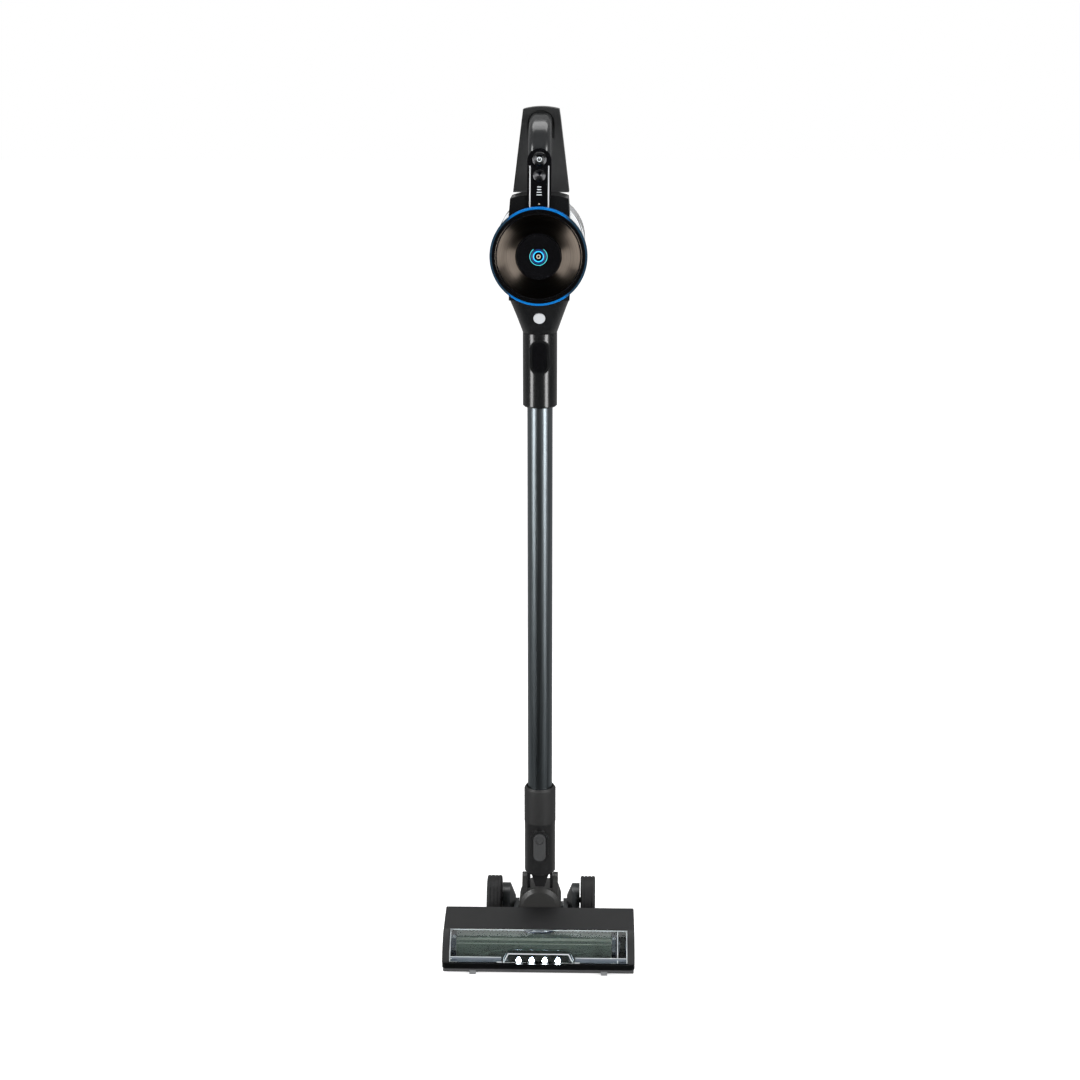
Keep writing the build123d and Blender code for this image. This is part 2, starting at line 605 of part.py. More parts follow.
# ================================================================== wheels
for side, name in ((-1, "left"), (1, "right")):
    at = side * FRONT_WHEEL_X
    with BuildPart() as front_wheel:
        rod_x(at - FRONT_WHEEL_W / 2, at + FRONT_WHEEL_W / 2, FRONT_WHEEL_R, FRONT_WHEEL_Y, FRONT_WHEEL_R)
        fillet(front_wheel.edges().filter_by(GeomType.CIRCLE), 1)
        rod_x(at - 10, at + 10, 1.5 + SNUG, FRONT_WHEEL_Y, FRONT_WHEEL_R, Mode.SUBTRACT)
    save(front_wheel, f"front_wheel_{name}")

    near, far = side * WHEEL_IN, side * (WHEEL_IN + WHEEL_W)
    low, high = sorted((near, far))
    with BuildPart() as rear_hub:
        rod_x(low, high, WHEEL_R - TYRE_T, WHEEL_Y, WHEEL_R)
        outer_edges = rear_hub.edges().filter_by(GeomType.CIRCLE).sort_by(Axis.X)
        fillet(outer_edges[-1] if side > 0 else outer_edges[0], 3)
        bore_low, bore_high = sorted((near - side, side * (WHEEL_IN + WHEEL_W - 4 + GAP)))
        rod_x(bore_low, bore_high, AXLE_R + SNUG, WHEEL_Y, WHEEL_R, Mode.SUBTRACT)
        dish_low, dish_high = sorted((side * (WHEEL_IN + WHEEL_W - 2.5), far + side))
        rod_x(dish_low, dish_high, 17, WHEEL_Y, WHEEL_R, Mode.SUBTRACT)
    save(rear_hub, f"rear_wheel_hub_{name}")

    with BuildPart() as rear_tyre:
        rod_x(low, high, WHEEL_R, WHEEL_Y, WHEEL_R)
        fillet(rear_tyre.edges().filter_by(GeomType.CIRCLE), 2.5)
        rod_x(low - 1, high + 1, WHEEL_R - TYRE_T, WHEEL_Y, WHEEL_R, Mode.SUBTRACT)
        for groove in range(1, 4):
            at = low + groove * WHEEL_W / 4
            with BuildSketch(facing_side(at - 0.6), mode=Mode.PRIVATE) as tread:
                with Locations((WHEEL_Y, WHEEL_R)):
                    Circle(WHEEL_R + 1)
                    Circle(WHEEL_R - 1.0, mode=Mode.SUBTRACT)
            extrude(tread.sketch, amount=1.2, mode=Mode.SUBTRACT)
    save(rear_tyre, f"rear_tyre_{name}")

# ================================================================== swivel
FLAT_Z = HINGE_Z - KNUCKLE_R - 1.5
JOURNAL_FLAT = 17.5  # the journal's top is cut off this far over its axis
ABOVE_HINGE = HINGE_Z + EAR_R + 1
with BuildPart() as swivel_yoke:
    rod_y(DOME_FRONT, BARREL_REAR, BARREL_R, SWIVEL_Z)
    chamfer(swivel_yoke.edges().filter_by(GeomType.CIRCLE).group_by(Axis.Y)[0], DOME_BEVEL)
    block(-EAR_IN, EAR_IN, HEAD_REAR + 1, BARREL_REAR + 1, FLAT_Z, ABOVE_HINGE, Mode.SUBTRACT)
    for side in (-1, 1):
        low, high = sorted((side * EAR_IN, side * (EAR_IN + EAR_T)))
        rod_x(low, high, EAR_R, HINGE_Y, HINGE_Z)
        block(low, high, HINGE_Y - EAR_R, HINGE_Y + EAR_R, SWIVEL_Z, HINGE_Z)
    block(-BARREL_R, BARREL_R, HINGE_Y + EAR_R, BARREL_REAR + 1, FLAT_Z, ABOVE_HINGE, Mode.SUBTRACT)
    rod_y(BARREL_REAR, JOURNAL_REAR, JOURNAL_R, SWIVEL_Z)
    block(
        -BARREL_R, BARREL_R, BARREL_REAR, JOURNAL_REAR + 1, SWIVEL_Z + JOURNAL_FLAT, ABOVE_HINGE,
        Mode.SUBTRACT,
    )
    rod_y(DOME_FRONT - 1, BARREL_REAR - 8, DUCT_BORE, YOKE_BORE_Z, mode=Mode.SUBTRACT)
    rod_z(SWIVEL_Z, FLAT_Z + 1, 9, 0, HINGE_Y, Mode.SUBTRACT)
    for side in (-1, 1):
        low, high = sorted((side * (EAR_IN - 1), side * (EAR_IN + EAR_T - 2)))
        rod_x(low, high, PIN_R, HINGE_Y, HINGE_Z, Mode.SUBTRACT)
save(swivel_yoke, "swivel_yoke")

# Hinge pins: one in each ear, reaching through the neck's lug beside it.
LUG_OUT_X = EAR_IN - GAP
with BuildPart() as hinge_pins:
    for side in (-1, 1):
        low, high = sorted((side * (LUG_OUT_X - LUG_T), side * (EAR_IN + EAR_T - 2)))
        rod_x(low, high, PIN_R, HINGE_Y, HINGE_Z)
save(hinge_pins, "hinge_pins")

# ================================================================== neck
NECK_TUBE_Z = HINGE_Z + NECK_TUBE_START
PLUG_BOTTOM = NECK_TOP - PLUG_LENGTH
NECK_BUTTON_Z = HINGE_Z + 66.0
NECK_BUTTON_LENGTH = 40.0
LUG_RISE = 4.0
ELBOW_BORE = 7.0


def capsule_boss(r, z, length):
    """Raised round-ended surround on the front of a tube, with its own flat face."""
    with BuildSketch(facing_front(-r * 0.6, z), mode=Mode.PRIVATE) as s:
        SlotOverall(length + BOSS_RIM, CAPSULE_W + BOSS_RIM, rotation=90)
    extrude(s.sketch, amount=r * 0.4 + BOSS_PROUD)


def capsule_pocket(r, z, length):
    """Pocket that the button slides in."""
    depth = CAPSULE_T + CAPSULE_TRAVEL + GAP
    with BuildSketch(facing_front(-r - BOSS_PROUD - BUTTON_PROUD, z), mode=Mode.PRIVATE) as s:
        SlotOverall(length + 2 * GAP, CAPSULE_W + 2 * GAP, rotation=90)
    extrude(s.sketch, amount=-depth, mode=Mode.SUBTRACT)


def capsule_button(r, z, length):
    """Round-ended button with a shallow thumb scoop at its top."""
    with BuildSketch(facing_front(-r - BOSS_PROUD - BUTTON_PROUD, z), mode=Mode.PRIVATE) as s:
        SlotOverall(length, CAPSULE_W, rotation=90)
    extrude(s.sketch, amount=-CAPSULE_T)


with BuildPart() as neck_tube:
    rod_z(NECK_TUBE_Z, NECK_TOP, NECK_R)
    capsule_boss(NECK_R, NECK_BUTTON_Z, NECK_BUTTON_LENGTH)
    rod_z(PLUG_BOTTOM - 1, NECK_TOP + 1, PLUG_R + GAP, mode=Mode.SUBTRACT)
    capsule_pocket(NECK_R, NECK_BUTTON_Z, NECK_BUTTON_LENGTH)
    chamfer(neck_tube.edges().filter_by(GeomType.CIRCLE).group_by(Axis.Z)[0], 2.5)
    for side in (-1, 1):
        low, high = sorted((side * (LUG_OUT_X - LUG_T), side * LUG_OUT_X))
        rod_x(low, high, LUG_R, HINGE_Y, HINGE_Z)
        side_slab(
            low, high,
            [
                (HINGE_Y - LUG_R, HINGE_Z), (HINGE_Y + LUG_R, HINGE_Z),
                (NECK_R / 2, NECK_TUBE_Z + LUG_RISE), (-NECK_R / 3, NECK_TUBE_Z + LUG_RISE),
            ],
        )
    rod_x(-EAR_IN, EAR_IN, PIN_R + SNUG, HINGE_Y, HINGE_Z, Mode.SUBTRACT)
    front_slab(
        HINGE_Y - KNUCKLE_R + 0.5, HINGE_Y + LUG_R,
        [
            (-ELBOW_FOOT_HALF, HINGE_Z - 3), (ELBOW_FOOT_HALF, HINGE_Z - 3),
            (ELBOW_TOP_HALF, NECK_TUBE_Z + 1), (-ELBOW_TOP_HALF, NECK_TUBE_Z + 1),
        ],
    )
    rod_z(HINGE_Z + 10, PLUG_BOTTOM, ELBOW_BORE, 0, HINGE_Y - 3, Mode.SUBTRACT)
save(neck_tube, "neck_tube")

with BuildPart() as neck_button:
    capsule_button(NECK_R, NECK_BUTTON_Z, NECK_BUTTON_LENGTH)
    with BuildSketch(facing_front(-NECK_R - BOSS_PROUD - BUTTON_PROUD, NECK_BUTTON_Z + 10)) as scoop:
        Circle(SCOOP_R)
    extrude(amount=-SCOOP_DEPTH, mode=Mode.SUBTRACT)
    button_top = NECK_BUTTON_Z + NECK_BUTTON_LENGTH / 2
    button_back = CAPSULE_T - NECK_R - BOSS_PROUD - BUTTON_PROUD
    side_slab(
        -CAPSULE_W, CAPSULE_W,
        [
            (button_back, button_top - BACK_SLOPE_LENGTH), (button_back, button_top + 1),
            (button_back - BACK_SLOPE, button_top + 1),
        ],
        Mode.SUBTRACT,
    )
save(neck_button, "neck_button")

# ================================================================== wand
with BuildPart() as lower_collar:
    rod_z(NECK_TOP + GAP, COLLAR_TOP, COLLAR_R)
    rim = lower_collar.edges().filter_by(GeomType.CIRCLE).sort_by(Axis.Z)
    chamfer(rim[-1], RIM_DROP, RIM_SLOPE)
    rod_z(PLUG_BOTTOM, NECK_TOP + GAP, PLUG_R)
    rod_z(COLLAR_TOP - TUBE_SEAT, COLLAR_TOP + 1, TUBE_R + SNUG, mode=Mode.SUBTRACT)
    rod_z(COLLAR_TOP - RIM_DROP, COLLAR_TOP + 1, TUBE_R + RIM_GROOVE, mode=Mode.SUBTRACT)
    rod_z(PLUG_BOTTOM - 1, COLLAR_TOP, AIRWAY_R, mode=Mode.SUBTRACT)
    rod_z(PLUG_BOTTOM - 1, PLUG_BOTTOM + 8, PLUG_R - 1.8, mode=Mode.SUBTRACT)
save(lower_collar, "lower_collar")

TUBE_BOTTOM = COLLAR_TOP - TUBE_SEAT
TUBE_TOP = SOCKET_BOTTOM + TUBE_SEAT
with BuildPart() as wand_tube:
    rod_z(TUBE_BOTTOM, TUBE_TOP, TUBE_R)
    rod_z(TUBE_BOTTOM - 1, TUBE_TOP + 1, TUBE_R - TUBE_WALL, mode=Mode.SUBTRACT)
save(wand_tube, "wand_tube")

# Conduit: the flat channel inside the tube that takes power down to the head.
CONDUIT_TOP = TUBE_R - TUBE_WALL - 1.6
with BuildPart() as power_conduit:
    block(-6, 6, CONDUIT_TOP - 4, CONDUIT_TOP, TUBE_BOTTOM, TUBE_TOP)
    block(-4.5, 4.5, CONDUIT_TOP - 2.8, CONDUIT_TOP - 1.2, TUBE_BOTTOM - 1, TUBE_TOP + 1, Mode.SUBTRACT)
save(power_conduit, "power_conduit")

WAND_BUTTON_Z = SOCKET_BOTTOM + 67.0
WAND_BUTTON_LENGTH = 38.0
NOZZLE_BOTTOM = SOCKET_TOP - NOZZLE_LENGTH
with BuildPart() as upper_socket:
    rod_z(SOCKET_BOTTOM, SOCKET_TOP - GAP, SOCKET_R)
    chamfer(upper_socket.edges().filter_by(GeomType.CIRCLE).sort_by(Axis.Z)[0], 2)
    capsule_boss(SOCKET_R, WAND_BUTTON_Z, WAND_BUTTON_LENGTH)
    rod_z(NOZZLE_BOTTOM - 1, SOCKET_TOP + 1, NOZZLE_R + GAP, mode=Mode.SUBTRACT)
    rod_z(SOCKET_BOTTOM - 1, TUBE_TOP, TUBE_R + SNUG, mode=Mode.SUBTRACT)
    rod_z(TUBE_TOP - 1, NOZZLE_BOTTOM, AIRWAY_R, mode=Mode.SUBTRACT)
    capsule_pocket(SOCKET_R, WAND_BUTTON_Z, WAND_BUTTON_LENGTH)
save(upper_socket, "upper_socket")

with BuildPart() as wand_button:
    capsule_button(SOCKET_R, WAND_BUTTON_Z, WAND_BUTTON_LENGTH)
    with BuildSketch(facing_front(-SOCKET_R - BOSS_PROUD - BUTTON_PROUD, WAND_BUTTON_Z + 9)) as scoop:
        Circle(SCOOP_R)
    extrude(amount=-SCOOP_DEPTH, mode=Mode.SUBTRACT)
save(wand_button, "wand_button")

# ================================================================== handheld: body
CAN_FRONT = DRUM_FRONT + 6
CAN_REAR = BODY_REAR - 12
DRUM_FLOOR = 3.0
BAY_BOTTOM = DISC_Z + MOTOR_CAN_R + 4
INLET_R = 7.0
INLET_Z = CUP_Z - CUP_R + CLEAR_WALL + INLET_R + 1
NOZZLE_TOP = INLET_Z - INLET_R - 11


def body_front_at(z):
    """Depth of the body's leaning front face at a height near its top."""
    return PANEL_FRONT - (BODY_TOP - z) * LEAN


with BuildPart() as main_body:
    side_slab(
        -BODY_HALF, BODY_HALF,
        [
            (body_front_at(BODY_TOP), BODY_TOP), (body_front_at(BODY_TOP - 32), BODY_TOP - 32),
            (BODY_FRONT, FUNNEL_TOP), (BODY_REAR, FUNNEL_TOP), (BODY_REAR, BODY_TOP),
        ],
    )
    with BuildSketch(facing_front(0)) as shoulders:
        with BuildLine():
            corner, flat = (SHOULDER_HALF, BODY_TOP - SHOULDER_DROP), (PANEL_HALF, BODY_TOP)
            crown = ((corner[0] + flat[0]) / 2, (corner[1] + flat[1]) / 2 + 1)
            Polyline(
                (-BODY_HALF, BODY_TOP - 28), (-BODY_HALF, FUNNEL_TOP), (BODY_HALF, FUNNEL_TOP),
                (BODY_HALF, BODY_TOP - 28), corner,
            )
            ThreePointArc(corner, crown, flat)
            Line(flat, (-flat[0], flat[1]))
            ThreePointArc((-flat[0], flat[1]), (-crown[0], crown[1]), (-corner[0], corner[1]))
            Line((-corner[0], corner[1]), (-BODY_HALF, BODY_TOP - 28))
        make_face()
    extrude(amount=100, both=True, mode=Mode.INTERSECT)
    with BuildSketch(level(FUNNEL_TOP)) as funnel_top:
        with Locations((0, (BODY_FRONT + BODY_REAR) / 2)):
            Rectangle(2 * BODY_HALF, BODY_REAR - BODY_FRONT)
        fillet(funnel_top.vertices(), 20)
    with BuildSketch(level(SOCKET_TOP)) as funnel_foot:
        Circle(SOCKET_R - 0.3)
    loft()
    rod_y(DRUM_FRONT, DRUM_REAR, DRUM_R, DISC_Z)
    rod_y(DRUM_FRONT - 1, DRUM_REAR - DRUM_FLOOR, DRUM_R - WALL, DISC_Z, mode=Mode.SUBTRACT)
    block(
        -BODY_HALF + 2 * WALL, BODY_HALF - 2 * WALL, DRUM_REAR + WALL, CAN_REAR, BAY_BOTTOM,
        BODY_TOP - 2 * SHOULDER_DROP, Mode.SUBTRACT,
    )
    rod_y(DRUM_FRONT - 1, CAN_REAR, MOTOR_CAN_R + SNUG, DISC_Z, mode=Mode.SUBTRACT)
    rod_y(CAN_REAR - 1, BODY_REAR + 1, 12, DISC_Z, mode=Mode.SUBTRACT)
    rod_z(SOCKET_TOP - 1, NOZZLE_TOP, NOZZLE_R + SNUG, mode=Mode.SUBTRACT)
    rod_y(0, BODY_REAR + 1, INLET_R, INLET_Z, mode=Mode.SUBTRACT)
    rod_z(NOZZLE_TOP - 1, INLET_Z, NOZZLE_BORE, mode=Mode.SUBTRACT)
save(main_body, "main_body")

# Nozzle: the spigot under the body that plugs into the wand.
with BuildPart() as nozzle:
    rod_z(NOZZLE_BOTTOM, NOZZLE_TOP, NOZZLE_R)
    rod_z(NOZZLE_BOTTOM - 1, NOZZLE_TOP + 1, NOZZLE_BORE, mode=Mode.SUBTRACT)
save(nozzle, "nozzle")

# Round plain badge on the funnel's front.
BADGE_ABOVE_SOCKET = 22.6
BADGE_R = 7.4
BADGE_LEAN = atan2(-BODY_FRONT - SOCKET_R, FUNNEL_HEIGHT)
BADGE_Y = -SOCKET_R - BADGE_ABOVE_SOCKET * (-BODY_FRONT - SOCKET_R) / FUNNEL_HEIGHT
badge_out = Vector(0, -cos(BADGE_LEAN), -sin(BADGE_LEAN))
badge_plane = Plane(
    origin=Vector(0, WAND_Y + BADGE_Y, SOCKET_TOP + BADGE_ABOVE_SOCKET) + badge_out * 1.4,
    x_dir=(1, 0, 0), z_dir=badge_out,
)
with BuildPart() as badge:
    with BuildSketch(badge_plane):
        Circle(BADGE_R)
    extrude(amount=-5)
    add(main_body.part, mode=Mode.SUBTRACT)
save(badge, "badge")

# Motor: can, and the fan that turns in front of it.
FAN_T = 11.0
with BuildPart() as fan_motor:
    rod_y(CAN_FRONT + FAN_T + 4, CAN_REAR, MOTOR_CAN_R, DISC_Z)
    rod_y(CAN_FRONT, CAN_FRONT + FAN_T + 4, MOTOR_CAN_R, DISC_Z)
    rod_y(CAN_FRONT - 1, CAN_FRONT + FAN_T + 4, MOTOR_CAN_R - 2, DISC_Z, mode=Mode.SUBTRACT)
    rod_y(CAN_FRONT + 1, CAN_FRONT + FAN_T + 6, 2.5, DISC_Z)
save(fan_motor, "fan_motor")

BLADE_COUNT = 9
FAN_R = MOTOR_CAN_R - 2 - 0.6
with BuildPart() as fan:
    rod_y(CAN_FRONT + FAN_T - 1, CAN_FRONT + FAN_T + 2, FAN_R, DISC_Z)
    rod_y(CAN_FRONT + 2, CAN_FRONT + FAN_T, 7, DISC_Z)
    with BuildSketch(facing_front(CAN_FRONT + FAN_T, DISC_Z)):
        with PolarLocations(FAN_R / 2 + 3, BLADE_COUNT):
            Rectangle(FAN_R - 8, 1.4, rotation=18)
    extrude(amount=FAN_T - 3)
    rod_y(CAN_FRONT - 5, CAN_FRONT + FAN_T + 6, 2.5 + SNUG, DISC_Z, mode=Mode.SUBTRACT)
save(fan, "fan")

# ================================================================== display and filter
DISPLAY_FACE = DISC_FRONT + 3.0
POST_REAR = CAN_FRONT
with BuildPart() as display_post:
    rod_y(DISPLAY_FACE + 2.0, DRUM_FRONT + 2, DISPLAY_R, DISC_Z)
    rod_y(DRUM_FRONT + 2, POST_REAR, DISPLAY_R - 1.5, DISC_Z)
    rod_y(DISPLAY_FACE, DRUM_FRONT - 4, DISPLAY_R - 3, DISC_Z, mode=Mode.SUBTRACT)
    for turn in (0, 90, 180, 270):
        angle = radians(turn + 45)
        rod_y(
            DRUM_FRONT - 3, POST_REAR + 1, 5, DISC_Z + 15 * sin(angle), 15 * cos(angle), Mode.SUBTRACT
        )
save(display_post, "display_post")

with BuildPart() as display_glass:
    rod_y(DISPLAY_FACE, DISPLAY_FACE + 2.0, DISPLAY_R, DISC_Z)
    chamfer(display_glass.edges().filter_by(GeomType.CIRCLE).group_by(Axis.Y)[0], 0.6)
save(display_glass, "display_glass")

# Filter cover: the dished disc round the display, with a sleeve behind it for the filters.
with BuildPart() as filter_cover:
    rod_y(DISC_FRONT, DRUM_FRONT - GAP, RING_IN, DISC_Z)
    with BuildSketch(facing_side(0)) as dish:
        with BuildLine():
            Polyline(
                (DISC_FRONT - 1, DISC_Z), (DISC_FRONT - 1, DISC_Z + RING_IN - 1.5),
                (DISC_FRONT, DISC_Z + RING_IN - 1.5), (DISC_FRONT + 4, DISC_Z + DISPLAY_R + 1),
                (DISC_FRONT + 4, DISC_Z), close=True,
            )
        make_face()
    revolve(axis=Axis((0, WAND_Y, DISC_Z), (0, 1, 0)), mode=Mode.SUBTRACT)
    rod_y(DISC_FRONT + 6.5, DRUM_FRONT, RING_IN - WALL, DISC_Z, mode=Mode.SUBTRACT)
    rod_y(DISC_FRONT - 1, DRUM_FRONT, DISPLAY_R + GAP, DISC_Z, mode=Mode.SUBTRACT)
    for z in (DISC_Z + 40, DISC_Z - 40):
        rod_y(DISC_FRONT + 6, DRUM_FRONT - GAP, 4, z)
save(filter_cover, "filter_cover")

# Lock ring: turns on the cover to free it, with finger ribs round its rim.
RING_REAR = DISC_FRONT + RING_DEPTH
RIB_COUNT = 60
with BuildPart() as lock_ring:
    rod_y(DISC_FRONT + 0.5, RING_REAR, DISC_R, DISC_Z)
    chamfer(lock_ring.edges().filter_by(GeomType.CIRCLE), 1.2)
    rod_y(DISC_FRONT - 1, RING_REAR + 1, RING_IN + GAP, DISC_Z, mode=Mode.SUBTRACT)
    with BuildSketch(facing_front(DISC_FRONT + 4, DISC_Z)):
        with PolarLocations(DISC_R, RIB_COUNT):
            Rectangle(1.2, 2.2)
    extrude(amount=-(RING_DEPTH - 6), mode=Mode.SUBTRACT)
save(lock_ring, "lock_ring")

# Filters: a pleated ring, and a foam ring inside it, both inside the drum.
PLEAT_OUT = DRUM_R - WALL - 1.2
PLEAT_IN = 39.0
FOAM_IN = DISPLAY_R + 2.5
FILTER_REAR = DRUM_REAR - DRUM_FLOOR - 0.5
with BuildPart() as pleated_filter:
    rod_y(DRUM_FRONT - GAP, FILTER_REAR, PLEAT_OUT, DISC_Z)
    rod_y(DRUM_FRONT - 5, FILTER_REAR + 1, PLEAT_IN, DISC_Z, mode=Mode.SUBTRACT)
    with BuildSketch(facing_front(FILTER_REAR, DISC_Z)):
        with PolarLocations((PLEAT_OUT + PLEAT_IN) / 2, 36):
            Rectangle(9, 2.2)
    extrude(amount=FILTER_REAR - DRUM_FRONT - 2, mode=Mode.SUBTRACT)
save(pleated_filter, "pleated_filter")

with BuildPart() as foam_filter:
    rod_y(DRUM_FRONT - GAP, FILTER_REAR, PLEAT_IN - 0.2, DISC_Z)
    rod_y(DRUM_FRONT - 5, FILTER_REAR + 1, FOAM_IN, DISC_Z, mode=Mode.SUBTRACT)
save(foam_filter, "foam_filter")

# ================================================================== dust cup
LID_HINGE_Z = CUP_Z - CUP_R - 2.5
LID_HINGE_Y = CUP_REAR + LID_T / 2
LID_PIN_R = 1.5
LUG_IN = 9.4
LUG_OUT = 14.0
with BuildPart() as dust_cup:
    for side in (-1, 1):
        low, high = sorted((side * LUG_IN, side * LUG_OUT))
        block(low, high, CUP_REAR - 10, CUP_REAR, LID_HINGE_Z - 2, CUP_Z - CUP_R + 3)
        block(low, high, CUP_REAR - 1, LID_HINGE_Y + 2, LID_HINGE_Z - 2, LID_HINGE_Z + 2)
    rod_x(-LUG_OUT, LUG_OUT, LID_PIN_R, LID_HINGE_Y, LID_HINGE_Z)
    rod_y(BODY_REAR, CUP_REAR, CUP_R, CUP_Z)
    rod_y(BODY_REAR - 1, CUP_REAR + 1, CUP_R - CLEAR_WALL, CUP_Z, mode=Mode.SUBTRACT)
    with BuildSketch(facing_front(BODY_REAR, CUP_Z)):
        Circle(CUP_R)
        Circle(CONE_R + 5, mode=Mode.SUBTRACT)
        with Locations((0, INLET_Z - CUP_Z)):
            Circle(INLET_R, mode=Mode.SUBTRACT)
    extrude(amount=-CLEAR_WALL)
save(dust_cup, "dust_cup")

# Cyclone: the cone and its mesh sleeve, fixed to the body inside the cup.
CONE_REAR = BODY_REAR + 66
with BuildPart() as cyclone_cone:
    rod_y(BODY_REAR, BODY_REAR + 6, CONE_R + 4, CUP_Z)
    with BuildSketch(facing_front(BODY_REAR + 34, CUP_Z)):
        Circle(CONE_R - 5)
    with BuildSketch(facing_front(CONE_REAR, CUP_Z)):
        Circle(14)
    loft()
    rod_y(BODY_REAR + 6, BODY_REAR + 34, CONE_R - 6, CUP_Z)
    rod_y(BODY_REAR - 1, BODY_REAR + 40, 12, DISC_Z, mode=Mode.SUBTRACT)
save(cyclone_cone, "cyclone_cone")

with BuildPart() as mesh_screen:
    rod_y(BODY_REAR + 6, BODY_REAR + 34, CONE_R, CUP_Z)
    rod_y(BODY_REAR + 5, BODY_REAR + 35, CONE_R - 1.2, CUP_Z, mode=Mode.SUBTRACT)
save(mesh_screen, "mesh_screen")

# Lid: hinged at the foot of the cup's open end, with a latch button at its top.
with BuildPart() as cup_lid:
    rod_y(CUP_REAR + 0.2, LID_REAR, CUP_R, CUP_Z)
    fillet(cup_lid.edges().filter_by(GeomType.CIRCLE).group_by(Axis.Y)[-1], 2.5)
    block(-9, 9, CUP_REAR + 0.2, LID_REAR, LID_HINGE_Z, CUP_Z - CUP_R + 3)
    rod_x(-9, 9, LID_T / 2 - 0.2, LID_HINGE_Y, LID_HINGE_Z)
    rod_x(-10, 10, LID_PIN_R + SNUG, LID_HINGE_Y, LID_HINGE_Z, Mode.SUBTRACT)
    block(-8, 8, LID_REAR - 3, LID_REAR + 1, CUP_Z + CUP_R - 22, CUP_Z + CUP_R - 8, Mode.SUBTRACT)
save(cup_lid, "cup_lid")

with BuildPart() as lid_latch:
    block(
        -8 + GAP, 8 - GAP, LID_REAR - 1.2, LID_REAR + LATCH_PROUD, CUP_Z + CUP_R - 22 + GAP,
        CUP_Z + CUP_R - 8 - GAP,
    )
    fillet(lid_latch.faces().sort_by(Axis.Y)[-1].edges(), 1.5)
save(lid_latch, "lid_latch")

# ================================================================== handle
GRIP_THICK = 30.0
GRIP_END = DOCK_FRONT + POCKET_DEPTH
GRIP_END_TOP = HANDLE_TOP - 7.0
GRIP_END_BOTTOM = HANDLE_TOP - 27.0
PANEL_TOP = BODY_TOP + PANEL_ABOVE_BODY
grip_front_top = (PANEL_FRONT + PANEL_ABOVE_BODY * LEAN, PANEL_TOP)
grip_rear_top = (grip_front_top[0] + GRIP_THICK, PANEL_TOP - 8)
with BuildPart() as grip:
    with BuildSketch(facing_side(-GRIP_HALF)) as grip_side:
        with BuildLine():
            Line((PANEL_FRONT, BODY_TOP), grip_front_top)
            Spline(
                grip_front_top, (DOCK_FRONT - 32, GRIP_END_TOP - 5), (GRIP_END, GRIP_END_TOP),
                tangents=((LEAN, 1), (1, 0.02)),
            )
            Line((GRIP_END, GRIP_END_TOP), (GRIP_END, GRIP_END_BOTTOM))
            Spline(
                (GRIP_END, GRIP_END_BOTTOM), (DOCK_FRONT - 15, GRIP_END_BOTTOM - 3.5), grip_rear_top,
                tangents=((-1, 0), (-LEAN, -1)),
            )
            Spline(grip_rear_top, (6, BODY_TOP), tangents=((-LEAN, -1), (0.1, -1)))
            Line((6, BODY_TOP), (PANEL_FRONT, BODY_TOP))
        make_face()
    extrude(amount=2 * GRIP_HALF)
    fillet(grip.edges().filter_by(lambda e: e.geom_type == GeomType.BSPLINE), 9)
save(grip, "grip")

# Dock: the tapered spine behind the fingers, with a pocket for the grip's end and a cap over
# the battery. The battery slides in from behind, along two rails under the cap.
BATTERY_FOOT = BODY_TOP + BATTERY_RAISE
DOCK_REAR = DOCK_FRONT + DOCK_T
CAP_BOTTOM = HANDLE_TOP - CAP_H
CASE_REAR = DOCK_REAR + BATTERY_T
RAIL_IN = 8.0
RAIL_OUT = 13.0
RAIL_H = 3.0
RAIL_REAR = CASE_REAR - 8


def half_width(z):
    """Half width of the handle's tapered back at a height."""
    share = (z - BATTERY_FOOT) / (HANDLE_TOP - BATTERY_FOOT)
    return BATTERY_FOOT_HALF + (BATTERY_TOP_HALF - BATTERY_FOOT_HALF) * share


def taper_points(inset, z0, z1):
    """Outline of that back between two heights, seen from the front."""
    foot, head = half_width(z0) - inset, half_width(z1) - inset
    return [(-foot, z0), (foot, z0), (head, z1), (-head, z1)]


def crowned_back(y0, y1, z0):
    """Prism along Y of that back from a height up to its crowned top."""
    foot, head, top = half_width(z0), half_width(HANDLE_TOP), HANDLE_TOP - TOP_CROWN
    with BuildSketch(facing_front(y0), mode=Mode.PRIVATE) as s:
        with BuildLine():
            Polyline((-head, top), (-foot, z0), (foot, z0), (head, top))
            ThreePointArc((head, top), (0, HANDLE_TOP), (-head, top))
        make_face()
    extrude(s.sketch, amount=y0 - y1)


with BuildPart() as battery_dock:
    crowned_back(DOCK_FRONT, DOCK_REAR, BATTERY_FOOT)
    crowned_back(DOCK_REAR, CASE_REAR, CAP_BOTTOM)
    fillet(battery_dock.edges().group_by(Axis.Y)[-1], 4)
    chamfer(battery_dock.edges().filter_by(Axis.X).group_by(Axis.Z)[0], 2)
    pocket_half = GRIP_HALF + 3
    with BuildSketch(facing_front(DOCK_FRONT + POCKET_DEPTH)) as pocket:
        with Locations((0, GRIP_END_TOP + 3 - pocket_half)):
            Circle(pocket_half)
        with Locations((0, GRIP_END_TOP + 3 - pocket_half - 9)):
            Rectangle(2 * pocket_half, 18)
    extrude(amount=POCKET_DEPTH + 1, mode=Mode.SUBTRACT)
    for side in (-1, 1):
        low, high = sorted((side * RAIL_IN, side * RAIL_OUT))
        block(low, high, DOCK_REAR, RAIL_REAR, CAP_BOTTOM - RAIL_H, CAP_BOTTOM)
save(battery_dock, "battery_dock")

